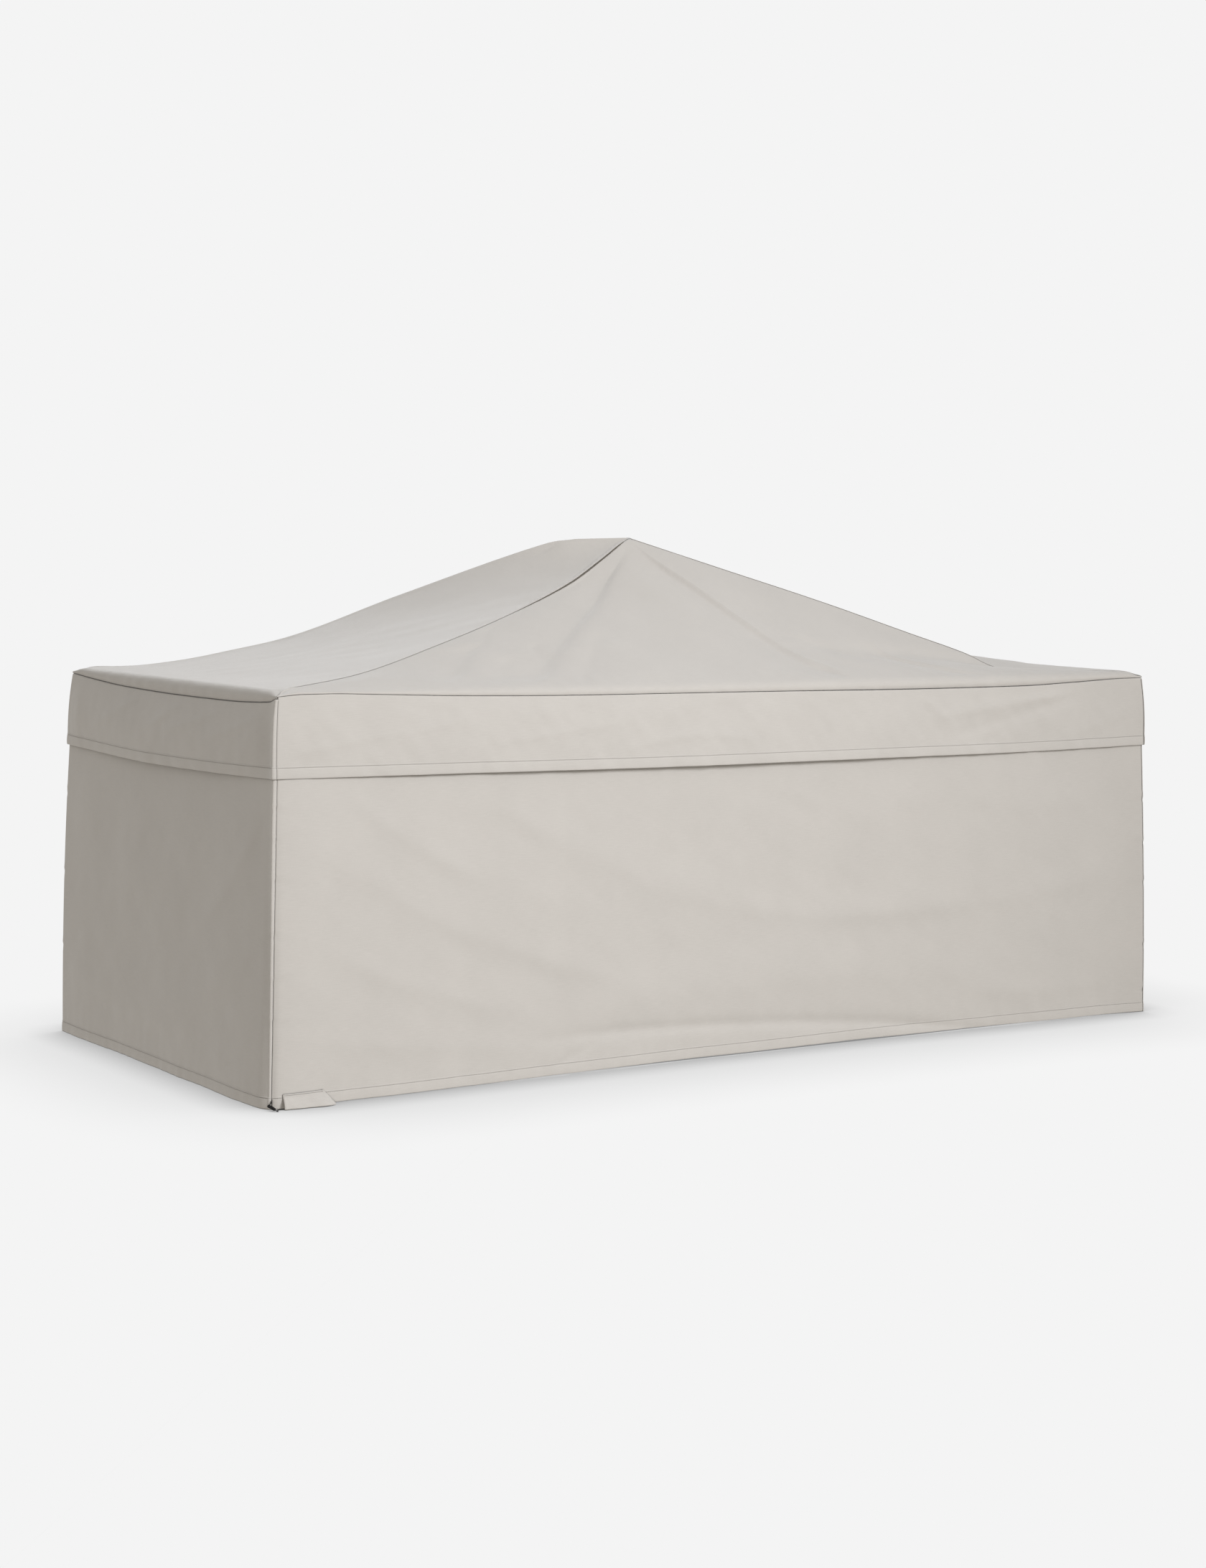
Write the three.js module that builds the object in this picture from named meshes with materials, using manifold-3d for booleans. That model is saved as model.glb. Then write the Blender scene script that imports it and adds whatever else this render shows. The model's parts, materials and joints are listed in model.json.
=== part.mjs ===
// Fitted rectangular patio table cover: a four-gore hipped top drawn up to a point, a hemmed
// valance that hangs over the top of the walls, and four wall panels with a hem at the floor.
// The cover is hollow, open below and held from inside at the level of its top.
// Millimetres, +Z up. The origin is on the floor under the middle of the top. +X runs along the
// long side, and the long front wall faces -Y.

import * as THREE from 'three';
import Module from 'manifold-3d';
import { mergeVertices } from 'three/addons/utils/BufferGeometryUtils.js';

// Driving dimensions
const TOP_LENGTH = 2138; // seam rectangle of the top, along X
const TOP_WIDTH = 898; // seam rectangle of the top, along Y
const TABLE_LEVEL = 757; // outer face of cloth that lies on the table top
const APEX_HEIGHT = 1035; // point where the four gores meet
const SEAM_HEIGHT = 743; // top seam at the corners, where it hangs highest
const VALANCE_BOTTOM = 597; // lower edge of the valance at the corners
const CLOTH = 1.6; // thickness of one panel
const HEM_DEPTH = 22; // height of a turned hem
const HEM_EXTRA = 0.8; // how far a turned hem stands out from its panel
const SEAM_GAP = 0.3; // clearance between two sewn pieces
const TABLE_EDGE = 16; // how far inside the seam the cloth bends over the table edge
const WALL_INSET = 1; // walls start this far inside the seam line, behind the valance
const VALANCE_PROUD = 0.9; // the valance starts this far outside the seam line
const VALANCE_BULGE = 2; // how far the valance bows out at mid-height
const CORD_WIDTH = 2.2; // drawcord diameter
const CORNER_ZONE = 0.1; // share of a side's half over which its top bends down to a corner
const WALL_CORNER = 0.2; // share of a wall's half over which its swags fade to a corner
const SWAG_START = { from: 0.2, to: 0.34 }; // shares of the way down a wall where its swags set in
const SWAG_ENDS = { first: 0.12, last: 0.15 }; // shares of a swag's length over which its ends fade
const FOLD_TIP = 0.35; // width of a roof fold at its top end, as a share of its full width
const FOLD_ENDS = { top: 0.25, below: 0.05, above: 0.08 }; // shares over which a roof fold fades out

const CLOTH_COLOUR = 0xc9c3ba;
const CORD_COLOUR = 0x141414;

const HALF_LENGTH = TOP_LENGTH / 2;
const HALF_WIDTH = TOP_WIDTH / 2;
const ROOF_RISE = APEX_HEIGHT - TABLE_LEVEL;

// Height along each hip, from its corner (at 0) to the apex (at 1), as a share of the roof's rise.
// The left front hip sags. The right front hip is taut and lands on the table short of its corner.
// The left back hip runs level from the apex before it falls.
const HIPS = {
  frontLeft: [
    { at: 0, rise: 0 }, { at: 0.054, rise: 0.018 }, { at: 0.18, rise: 0.066 }, { at: 0.43, rise: 0.263 },
    { at: 0.617, rise: 0.442 }, { at: 0.8, rise: 0.658 }, { at: 0.915, rise: 0.853 }, { at: 1, rise: 1 },
  ],
  frontRight: [
    { at: 0, rise: 0 }, { at: 0.22, rise: 0.003 }, { at: 0.27, rise: 0.022 }, { at: 0.34, rise: 0.138 },
    { at: 0.45, rise: 0.288 }, { at: 0.62, rise: 0.52 }, { at: 0.83, rise: 0.785 }, { at: 1, rise: 1 },
  ],
  backLeft: [
    { at: 0, rise: 0 }, { at: 0.08, rise: 0.007 }, { at: 0.17, rise: 0.05 }, { at: 0.27, rise: 0.133 },
    { at: 0.36, rise: 0.22 }, { at: 0.57, rise: 0.547 }, { at: 0.855, rise: 0.963 },
    { at: 0.869, rise: 0.978 }, { at: 1, rise: 1 },
  ],
  backRight: [
    { at: 0, rise: 0 }, { at: 0.12, rise: 0.02 }, { at: 0.25, rise: 0.09 }, { at: 0.45, rise: 0.29 },
    { at: 0.7, rise: 0.6 }, { at: 1, rise: 1 },
  ],
};

// Height up the middle of each gore, from the table edge (at 0) to the apex (at 1).
const GORE_MIDDLES = {
  front: [{ at: 0, rise: 0 }, { at: 0.25, rise: 0.21 }, { at: 0.5, rise: 0.45 }, { at: 0.75, rise: 0.71 },
    { at: 1, rise: 1 }],
  back: [{ at: 0, rise: 0 }, { at: 0.25, rise: 0.22 }, { at: 0.5, rise: 0.47 }, { at: 0.75, rise: 0.74 },
    { at: 1, rise: 1 }],
  left: [{ at: 0, rise: 0 }, { at: 0.1, rise: 0.035 }, { at: 0.3, rise: 0.165 }, { at: 0.5, rise: 0.36 },
    { at: 0.75, rise: 0.68 }, { at: 1, rise: 1 }],
  right: [{ at: 0, rise: 0 }, { at: 0.1, rise: 0.05 }, { at: 0.3, rise: 0.18 }, { at: 0.5, rise: 0.37 },
    { at: 0.75, rise: 0.66 }, { at: 1, rise: 1 }],
};

// Slack folds of the front gore. They run down from the apex: `top` and `foot` are places across
// the gore, from -1 at its left hip to 1 at its right hip, at the heights `upper` and `lower`.
// `before` and `after` are the widths of the flanks on the left and on the right of the valley.
const ROOF_FOLDS = [
  { top: 0.16, foot: 0.22, upper: 0.99, lower: 0.06, depth: 9, before: 110, after: 26 },
  { top: -0.46, foot: -0.51, upper: 0.99, lower: 0.03, depth: 8, before: 130, after: 34 },
  { top: -0.82, foot: -0.7, upper: 0.45, lower: 0.08, depth: 4, before: 60, after: 24 },
  { top: 0.62, foot: 0.55, upper: 0.34, lower: 0.02, depth: 6, before: 70, after: 24 },
  { top: 0.4, foot: 0.52, upper: 0.62, lower: 0.2, depth: 4, before: 60, after: 60 },
];

// How far the top seam hangs below its corner height, across each side. Near the left front
// corner the long seam is drawn up instead.
const SEAM_DROPS = {
  front: [{ at: -1, drop: -2 }, { at: -0.95, drop: -5.5 }, { at: -0.9, drop: -5.5 },
    { at: -0.81, drop: -2.5 }, { at: -0.63, drop: 4 }, { at: -0.4, drop: 8 }, { at: 0, drop: 9.8 },
    { at: 0.44, drop: 12.8 }, { at: 0.66, drop: 12 }, { at: 0.82, drop: 6.4 }, { at: 0.94, drop: 0.8 },
    { at: 1, drop: 0 }],
  back: [{ at: -1, drop: 0 }, { at: -0.6, drop: 8 }, { at: 0, drop: 12 }, { at: 0.6, drop: 9 },
    { at: 1, drop: 0 }],
  left: [{ at: -1, drop: 2 }, { at: -0.94, drop: 9 }, { at: -0.55, drop: 16 }, { at: -0.1, drop: 17 },
    { at: 0.41, drop: 14 }, { at: 0.8, drop: 6 }, { at: 1, drop: 0 }],
  right: [{ at: -1, drop: 0 }, { at: -0.5, drop: 10 }, { at: 0.1, drop: 13 }, { at: 0.6, drop: 9 },
    { at: 1, drop: 0 }],
};

// How far the foot of each wall stands out from the seam line, how high its hem is lifted, and how
// early it swings out: 1 is a straight slope, and more is a wall that bellies out near its top.
const WALL_FEET = {
  front: [{ at: -1, out: 21, lift: 2, belly: 1 }, { at: -0.88, out: 29, lift: 2, belly: 1 },
    { at: -0.57, out: 17, lift: 0.5, belly: 1 }, { at: -0.06, out: 9, lift: 4, belly: 1 },
    { at: 0.36, out: 5, lift: 7, belly: 1.1 }, { at: 0.64, out: 7, lift: 5, belly: 1.3 },
    { at: 0.9, out: 15, lift: 1, belly: 1.5 }, { at: 1, out: 20, lift: 0, belly: 1.5 }],
  back: [{ at: -1, out: 19, lift: 0, belly: 2.2 }, { at: -0.4, out: 28, lift: 0, belly: 1.4 },
    { at: 0.3, out: 30, lift: 0, belly: 1.2 }, { at: 1, out: 20, lift: 0, belly: 1.4 }],
  left: [{ at: -1, out: 21, lift: 2, belly: 1 }, { at: -0.8, out: 30, lift: 0, belly: 1.1 },
    { at: -0.5, out: 37, lift: 0, belly: 1.3 }, { at: 0.1, out: 31, lift: 0, belly: 1.6 },
    { at: 1, out: 19, lift: 0, belly: 2.2 }],
  right: [{ at: -1, out: 20, lift: 0, belly: 1.5 }, { at: -0.3, out: 29, lift: 0, belly: 1.4 },
    { at: 0.4, out: 32, lift: 0, belly: 1.3 }, { at: 1, out: 20, lift: 0, belly: 1.4 }],
};

// How far the lower edge of the valance stands out, and how far it hangs below its corner height.
const VALANCE_FEET = {
  front: [{ at: -1, out: 7, drop: 0 }, { at: -0.7, out: 11, drop: 2 }, { at: -0.1, out: 12, drop: 7 },
    { at: 0.6, out: 8, drop: 7 }, { at: 1, out: 7.5, drop: 2 }],
  back: [{ at: -1, out: 9.5, drop: 0 }, { at: 0, out: 16, drop: 8 }, { at: 1, out: 8, drop: 2 }],
  left: [{ at: -1, out: 7, drop: 0 }, { at: -0.5, out: 14, drop: 5 }, { at: 0.1, out: 16, drop: 8 },
    { at: 1, out: 9.5, drop: 0 }],
  right: [{ at: -1, out: 8, drop: 2 }, { at: 0, out: 14, drop: 8 }, { at: 1, out: 8, drop: 2 }],
};

// Swags of the walls: soft ridges that run from (x0, z0) to (x1, z1) and hang by `sag` at mid-length.
const WALL_SWAGS = {
  front: [
    { x0: -645, z0: 561, x1: 505, z1: 274, sag: 104, out: 3, wide: 38 },
    { x0: -943, z0: 583, x1: -643, z1: 397, sag: 17, out: 2, wide: 24 },
    { x0: -1012, z0: 479, x1: -320, z1: 181, sag: 35, out: 3, wide: 34 },
    { x0: -1045, z0: 318, x1: -539, z1: 133, sag: 19, out: 2.5, wide: 32 },
    { x0: -398, z0: 122, x1: 588, z1: 125, sag: -24, out: 4, wide: 60 },
    { x0: -423, z0: 74, x1: 606, z1: 45, sag: -7, out: -4.5, wide: 15 },
    { x0: 205, z0: 275, x1: 1040, z1: 322, sag: 22, out: 2.5, wide: 34 },
    { x0: 589, z0: 89, x1: 1040, z1: 88, sag: 18, out: 2.5, wide: 26 },
  ],
  back: [
    { x0: -900, z0: 520, x1: 500, z1: 240, sag: 90, out: 3, wide: 60 },
    { x0: -200, z0: 200, x1: 900, z1: 300, sag: 60, out: 3, wide: 60 },
  ],
  left: [
    { x0: -380, z0: 480, x1: 380, z1: 430, sag: 60, out: 3, wide: 90 },
  ],
  right: [
    { x0: -380, z0: 420, x1: 380, z1: 500, sag: 60, out: 3, wide: 90 },
  ],
};

// The four sides. `across` runs along the side, towards +X or +Y, and `out` faces away from it.
const SIDES = [
  { name: 'front', half: HALF_LENGTH, depth: HALF_WIDTH, across: [1, 0], out: [0, -1],
    hips: ['frontLeft', 'frontRight'], columns: 26, wallRows: 12 },
  { name: 'back', half: HALF_LENGTH, depth: HALF_WIDTH, across: [1, 0], out: [0, 1],
    hips: ['backLeft', 'backRight'], columns: 20, wallRows: 7 },
  { name: 'left', half: HALF_WIDTH, depth: HALF_LENGTH, across: [0, 1], out: [-1, 0],
    hips: ['frontLeft', 'backLeft'], columns: 14, wallRows: 8 },
  { name: 'right', half: HALF_WIDTH, depth: HALF_LENGTH, across: [0, 1], out: [1, 0],
    hips: ['frontRight', 'backRight'], columns: 14, wallRows: 8 },
];

// The bend over the table edge, from the seam up: `out` is outside the seam line, `rise` is the
// share of the way from the seam up to the table edge, and `tilt` turns the cloth's thickness
// from level, at 0 degrees, to upright, at 90.
const EDGE_BEND = [
  { out: -1, rise: 0, tilt: 0 },
  { out: 2.5, rise: 0.22, tilt: 0 },
  { out: 3, rise: 0.5, tilt: 8 },
  { out: -1, rise: 0.82, tilt: 45 },
  { out: -TABLE_EDGE, rise: 1, tilt: 90 },
];
const CORNER_SOFTNESS = 0.55; // share of that climb which a rounded corner leaves out
const GORE_ROWS = [0.06, 0.14, 0.24, 0.36, 0.5, 0.64, 0.77, 0.87, 0.94, 1];

// Smooth curve through the rows of a table that rises or falls without overshoot.
function follow(rows, key, at) {
  const last = rows.length - 1;
  const slope = (i) => (rows[i + 1][key] - rows[i][key]) / (rows[i + 1].at - rows[i].at);
  const tangent = (i) => {
    if (i === 0) return slope(0);
    if (i === last) return slope(last - 1);
    const before = slope(i - 1);
    const after = slope(i);
    return before * after > 0 ? (2 * before * after) / (before + after) : 0;
  };
  const x = THREE.MathUtils.clamp(at, rows[0].at, rows[last].at);
  let i = 0;
  while (i < last - 1 && x > rows[i + 1].at) i += 1;
  const span = rows[i + 1].at - rows[i].at;
  const t = (x - rows[i].at) / span;
  const t2 = t * t;
  const t3 = t2 * t;
  return (2 * t3 - 3 * t2 + 1) * rows[i][key] + (t3 - 2 * t2 + t) * span * tangent(i)
    + (-2 * t3 + 3 * t2) * rows[i + 1][key] + (t3 - t2) * span * tangent(i + 1);
}

const smooth = (from, to, value) => THREE.MathUtils.smoothstep(value, from, to);

// Depth of the front gore's folds at a place across it, at a share of the way up to the apex.
function roofFolds(across, up) {
  const halfSpan = (1 - up) * HALF_LENGTH;
  let depth = 0;
  for (const fold of ROOF_FOLDS) {
    const along = THREE.MathUtils.clamp((fold.upper - up) / (fold.upper - fold.lower), 0, 1);
    const middle = THREE.MathUtils.lerp(fold.top, fold.foot, along);
    const offset = (across - middle) * halfSpan;
    const width = (offset < 0 ? fold.before : fold.after) * THREE.MathUtils.lerp(FOLD_TIP, 1, along);
    const ends = smooth(0, FOLD_ENDS.top, along)
      * smooth(fold.lower - FOLD_ENDS.below, fold.lower + FOLD_ENDS.above, up);
    depth += fold.depth * ends * Math.exp(-((offset / width) ** 2));
  }
  return depth;
}

// Height of the roof's outer face at a place across a gore and a share of the way up to the apex:
// one parabola from hip to hip through the gore's middle.
function roofHeight(side, across, up) {
  const middle = follow(GORE_MIDDLES[side.name], 'rise', up);
  const [first, last] = side.hips.map((name) => follow(HIPS[name], 'rise', up));
  const lean = (last - first) / 2;
  const sag = middle - (first + last) / 2;
  const rise = middle + lean * across - sag * across * across;
  const folds = side.name === 'front' ? roofFolds(across, up) : 0;
  return TABLE_LEVEL + ROOF_RISE * rise - folds;
}

// Soft ridges of a wall at a place along it, in millimetres.
function swags(side, along, height) {
  let out = 0;
  for (const swag of WALL_SWAGS[side.name]) {
    const t = (along - swag.x0) / (swag.x1 - swag.x0);
    const fade = smooth(-SWAG_ENDS.first, SWAG_ENDS.first, t)
      * (1 - smooth(1 - SWAG_ENDS.last, 1 + SWAG_ENDS.last, t));
    const line = swag.z0 + (swag.z1 - swag.z0) * t - 4 * swag.sag * t * (1 - t);
    const steepness = (swag.z1 - swag.z0 - 4 * swag.sag * (1 - 2 * t)) / (swag.x1 - swag.x0);
    const distance = (height - line) / Math.hypot(1, steepness);
    out += swag.out * fade * Math.exp(-((distance / swag.wide) ** 2));
  }
  return out;
}

const seamHeight = (side, across) => SEAM_HEIGHT - follow(SEAM_DROPS[side.name], 'drop', across);

// Point at a place across a side, at a distance outside the seam line. The two sides of a corner
// share its mitre, and each keeps half a seam's gap from it.
function place(side, across, outside, height) {
  const half = side.half + outside;
  const depth = side.depth + outside;
  const clearance = Math.abs(across) === 1 ? SEAM_GAP * Math.SQRT1_2 : 0;
  const along = across * half - Math.sign(across) * clearance;
  return new THREE.Vector3(
    side.across[0] * along + side.out[0] * depth,
    side.across[1] * along + side.out[1] * depth,
    height,
  );
}

// Closed solid between an outer and an inner grid of points, each an array of columns.
// A last row that has run together into one point closes as a tip.
function sheetBetween(outer, inner) {
  const columns = outer.length - 1;
  const rows = outer[0].length - 1;
  const positions = [];
  const index = (grid, i, j) => grid * (columns + 1) * (rows + 1) + i * (rows + 1) + j;
  for (const grid of [outer, inner]) {
    for (const column of grid) {
      for (const point of column) positions.push(point.x, point.y, point.z);
    }
  }
  const faces = [];
  const quad = (a, b, c, d) => faces.push([a, b, c], [a, c, d]);
  for (let i = 0; i < columns; i += 1) {
    for (let j = 0; j < rows; j += 1) {
      quad(index(0, i, j), index(0, i + 1, j), index(0, i + 1, j + 1), index(0, i, j + 1));
      quad(index(1, i, j), index(1, i, j + 1), index(1, i + 1, j + 1), index(1, i + 1, j));
    }
    quad(index(0, i, 0), index(1, i, 0), index(1, i + 1, 0), index(0, i + 1, 0));
    quad(index(0, i, rows), index(0, i + 1, rows), index(1, i + 1, rows), index(1, i, rows));
  }
  for (let j = 0; j < rows; j += 1) {
    quad(index(0, 0, j), index(0, 0, j + 1), index(1, 0, j + 1), index(1, 0, j));
    quad(index(0, columns, j), index(1, columns, j), index(1, columns, j + 1), index(0, columns, j + 1));
  }
  return closedGeometry(positions, faces);
}

// Geometry from points and faces, with equal points merged, empty faces dropped, facing outwards.
function closedGeometry(positions, faces) {
  const loose = new THREE.BufferGeometry();
  loose.setAttribute('position', new THREE.Float32BufferAttribute(positions, 3));
  loose.setIndex(faces.flat());
  const merged = mergeVertices(loose, 1e-3);
  const points = merged.getAttribute('position');
  const order = merged.getIndex().array;
  const kept = [];
  let volume = 0;
  const [a, b, c] = [new THREE.Vector3(), new THREE.Vector3(), new THREE.Vector3()];
  for (let i = 0; i < order.length; i += 3) {
    const [p, q, r] = [order[i], order[i + 1], order[i + 2]];
    if (p === q || q === r || r === p) continue;
    kept.push(p, q, r);
    a.fromBufferAttribute(points, p);
    b.fromBufferAttribute(points, q);
    c.fromBufferAttribute(points, r);
    volume += a.dot(b.cross(c));
  }
  if (volume < 0) kept.reverse();
  merged.setIndex(kept);
  merged.computeVertexNormals();
  return merged;
}

// Places across a side, from -1 to 1: even steps, with extra ones at the folds of the front gore.
function stationsOf(side) {
  const stations = [];
  for (let i = 0; i <= side.columns; i += 1) stations.push(-1 + (2 * i) / side.columns);
  if (side.name !== 'front') return stations;
  for (const fold of ROOF_FOLDS.slice(0, 2)) {
    for (const shift of [-0.025, 0, 0.025, 0.05]) stations.push(fold.foot + shift);
  }
  stations.sort((p, q) => p - q);
  return stations.filter((at, i) => i === 0 || at === 1 || at - stations[i - 1] > 0.012);
}

// One gore of the top, from the seam over the table edge and up to the apex.
function gore(side) {
  const diagonal = Math.hypot(side.half, side.depth);
  const tip = (SEAM_GAP / 2) * (diagonal / side.half);
  const edgeHalf = side.half - TABLE_EDGE;
  const edgeDepth = side.depth - TABLE_EDGE;
  const gridAt = (thickness) => stationsOf(side).map((across) => {
    const seam = seamHeight(side, across);
    const rim = roofHeight(side, across, 0);
    const column = EDGE_BEND.map(({ out, rise, tilt }) => {
      const angle = THREE.MathUtils.degToRad(tilt);
      const climb = rise * (1 - CORNER_SOFTNESS * smooth(1 - CORNER_ZONE, 1, Math.abs(across)));
      const height = seam + (rim - seam) * climb - thickness * Math.sin(angle);
      return place(side, across, out - thickness * Math.cos(angle), height);
    });
    for (const up of GORE_ROWS) {
      const half = edgeHalf * (1 - up) * across;
      const depth = up === 1 ? tip : edgeDepth * (1 - up);
      const atHip = Math.abs(across) === 1 && up < 1 ? SEAM_GAP / 2 : 0;
      const along = half - Math.sign(across) * atHip * (side.depth / diagonal);
      const outwards = depth + atHip * (side.half / diagonal);
      column.push(new THREE.Vector3(
        side.across[0] * along + side.out[0] * outwards,
        side.across[1] * along + side.out[1] * outwards,
        roofHeight(side, across, up) - thickness,
      ));
    }
    return column;
  });
  return sheetBetween(gridAt(0), gridAt(CLOTH));
}

// Distance of the wall's outer face outside the seam line at a height, without its hem.
function wallOutside(side, across, height) {
  const down = 1 - height / seamHeight(side, across);
  const away = smooth(0, WALL_CORNER, 1 - Math.abs(across)) * smooth(SWAG_START.from, SWAG_START.to, down);
  const swing = 1 - (1 - down) ** follow(WALL_FEET[side.name], 'belly', across);
  return -WALL_INSET + follow(WALL_FEET[side.name], 'out', across) * swing
    + away * swags(side, across * side.half, height);
}

// One wall panel, from just under the seam down to the floor, with its turned hem.
function wall(side) {
  const gridAt = (thickness) => stationsOf(side).map((across) => {
    const top = seamHeight(side, across) - SEAM_GAP;
    const lift = follow(WALL_FEET[side.name], 'lift', across);
    const hemTop = lift + HEM_DEPTH;
    const column = [];
    for (let row = 0; row < side.wallRows; row += 1) {
      const height = THREE.MathUtils.lerp(top, hemTop + 1, row / (side.wallRows - 1));
      column.push(place(side, across, wallOutside(side, across, height) - thickness, height));
    }
    for (const height of [hemTop, lift]) {
      const proud = thickness === 0 ? HEM_EXTRA : -thickness;
      column.push(place(side, across, wallOutside(side, across, height) + proud, height));
    }
    return column;
  });
  return sheetBetween(gridAt(0), gridAt(CLOTH));
}

const VALANCE_ROWS = [0, 0.12, 0.3, 0.55]; // shares of the way down it, above its hem
const VALANCE_SWING = 0.8; // below 1, the valance swings out sooner near its top

// One side of the valance, with its turned hem.
function valance(side) {
  const gridAt = (thickness) => stationsOf(side).map((across) => {
    const top = seamHeight(side, across) - SEAM_GAP;
    const bottom = VALANCE_BOTTOM - follow(VALANCE_FEET[side.name], 'drop', across);
    const foot = follow(VALANCE_FEET[side.name], 'out', across);
    const hemTop = bottom + HEM_DEPTH;
    const outside = (height) => {
      const down = (top - height) / (top - bottom);
      const swing = (foot - VALANCE_PROUD) * down ** VALANCE_SWING;
      return VALANCE_PROUD + swing + VALANCE_BULGE * Math.sin(Math.PI * down);
    };
    const heights = [...VALANCE_ROWS.map((down) => THREE.MathUtils.lerp(top, bottom, down)), hemTop + 1];
    const column = heights.map((height) => place(side, across, outside(height) - thickness, height));
    for (const height of [hemTop, bottom]) {
      const proud = thickness === 0 ? HEM_EXTRA : -thickness;
      column.push(place(side, across, outside(height) + proud, height));
    }
    return column;
  });
  return sheetBetween(gridAt(0), gridAt(CLOTH));
}

// Pouch on the front hem that the end of the drawcord is tucked into. Its left end is open, and
// it is sewn to the hem along its top and at its right end, where it has no bulge left. The cord
// pulls the mouth's lip to the left by the share `slant` of its bulge. Its lower edge turns in
// under itself: `turnBulge` is the bulge in mm from which the turn is whole, and `turnThinning` is
// the share of the cloth's thickness that the turn takes from level to upright.
const POCKET = {
  left: -1064, right: -961, top: 26.5, columns: 12, bulge: 20, closesAt: 0.84, slant: 0.42, slantEnd: 0.6,
  turnBulge: 4, turnThinning: 0.8,
};
const POCKET_SECTION = [
  { bulge: 0, up: 1 }, { bulge: 0.06, up: 0.87 }, { bulge: 0.24, up: 0.7 }, { bulge: 0.6, up: 0.46 },
  { bulge: 0.88, up: 0.25 }, { bulge: 1, up: 0.1 }, { bulge: 0.97, up: 0.02 }, { bulge: 0.75, up: 0 },
];
const POCKET_TURN = 5; // section row where the sheet has begun to turn in under itself

function hemPocket() {
  const side = SIDES[0];
  const hemFace = (x, height) => {
    const face = stationsOf(side).map((across) => {
      const hemTop = follow(WALL_FEET[side.name], 'lift', across) + HEM_DEPTH;
      const proud = HEM_EXTRA * (1 - smooth(hemTop, hemTop + 1, height));
      return place(side, across, wallOutside(side, across, height) + proud, height);
    });
    const next = face.findIndex((point) => point.x > x);
    const [from, to] = [face[next - 1], face[next]];
    return -THREE.MathUtils.mapLinear(x, from.x, to.x, from.y, to.y);
  };
  const gridAt = (thickness) => {
    const grid = [];
    for (let i = 0; i <= POCKET.columns; i += 1) {
      const t = i / POCKET.columns;
      const x = THREE.MathUtils.lerp(POCKET.left, POCKET.right, t);
      const bulge = POCKET.bulge * (1 - smooth(POCKET.closesAt, 1, t));
      grid.push(POCKET_SECTION.map((row, k) => {
        const turned = smooth(POCKET_TURN - 0.5, POCKET_SECTION.length - 1, k)
          * Math.min(bulge / POCKET.turnBulge, 1);
        const height = POCKET.top * row.up + thickness * turned;
        const out = hemFace(x, height) + SEAM_GAP + CLOTH + bulge * row.bulge;
        const pulled = POCKET.slant * bulge * row.bulge * (1 - smooth(0, POCKET.slantEnd, t));
        const inwards = thickness * (1 - POCKET.turnThinning * turned);
        return new THREE.Vector3(x - pulled, -out + inwards, height);
      }));
    }
    return grid;
  };
  return sheetBetween(gridAt(0), gridAt(CLOTH));
}

// Drawcord: out of the hem at the corner, through the lock, and along the floor into the pouch.
const CORD_ROUTE = [
  [-1089.8, -469.8, 18.5], [-1092, -472, 18], [-1095.2, -474.8, 16.8], [-1098.4, -477.6, 14.6],
  [-1100.4, -479.8, 11.8], [-1100, -481.2, 9.6], [-1097.2, -481.1, 8.4], [-1092.6, -479.9, 7.3],
  [-1088, -478.7, 6.2], [-1083.4, -478.2, 4.9], [-1078.6, -478.9, 3.8], [-1073.4, -480.2, 3.2],
  [-1068, -481, 3.2], [-1062, -480.8, 3.6], [-1056, -480.2, 4], [-1050, -479.6, 4],
  [-1044, -479.2, 4], [-1038, -478.8, 4],
];
const CORD_STEPS = 44;
const CORD_SIDES = 8;

function drawcord() {
  const path = new THREE.CatmullRomCurve3(CORD_ROUTE.map(([x, y, z]) => new THREE.Vector3(x, y, z)));
  const section = new THREE.Shape();
  for (let i = 0; i < CORD_SIDES; i += 1) {
    const angle = (2 * Math.PI * i) / CORD_SIDES;
    const [x, y] = [(Math.cos(angle) * CORD_WIDTH) / 2, (Math.sin(angle) * CORD_WIDTH) / 2];
    if (i === 0) section.moveTo(x, y);
    else section.lineTo(x, y);
  }
  section.closePath();
  return new THREE.ExtrudeGeometry(section, { steps: CORD_STEPS, extrudePath: path, bevelEnabled: false });
}

// Barrel cord lock that leans on the corner, with a cross bore that the cord runs through.
// The button at its upper end is narrower than the barrel and parted from it by a groove.
const LOCK = {
  upper: [-1094.6, -470.7, 11.2], lower: [-1090.9, -489.5, 4], radius: 3.6, bevel: 0.8,
  bore: 1.5, boreHeading: [0.934, 0.272, -0.231], button: 7, groove: 0.7, step: 0.2, shoulder: 0.6,
};
const LOCK_SIDES = 16;
const BORE_SIDES = 12;
const BORE_LENGTH = 16;

const wasm = await Module();
wasm.setup();

function toSolid(geometry) {
  const bare = geometry.clone();
  bare.deleteAttribute('normal');
  bare.deleteAttribute('uv');
  const merged = mergeVertices(bare, 1e-3);
  return new wasm.Manifold(new wasm.Mesh({
    numProp: 3,
    vertProperties: new Float32Array(merged.getAttribute('position').array),
    triVerts: new Uint32Array(merged.getIndex().array),
  }));
}

function toGeometry(solid) {
  const mesh = solid.getMesh();
  const geometry = new THREE.BufferGeometry();
  geometry.setAttribute('position', new THREE.BufferAttribute(new Float32Array(mesh.vertProperties), 3));
  geometry.setIndex(new THREE.BufferAttribute(new Uint32Array(mesh.triVerts), 1));
  geometry.computeVertexNormals();
  return geometry;
}

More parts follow.
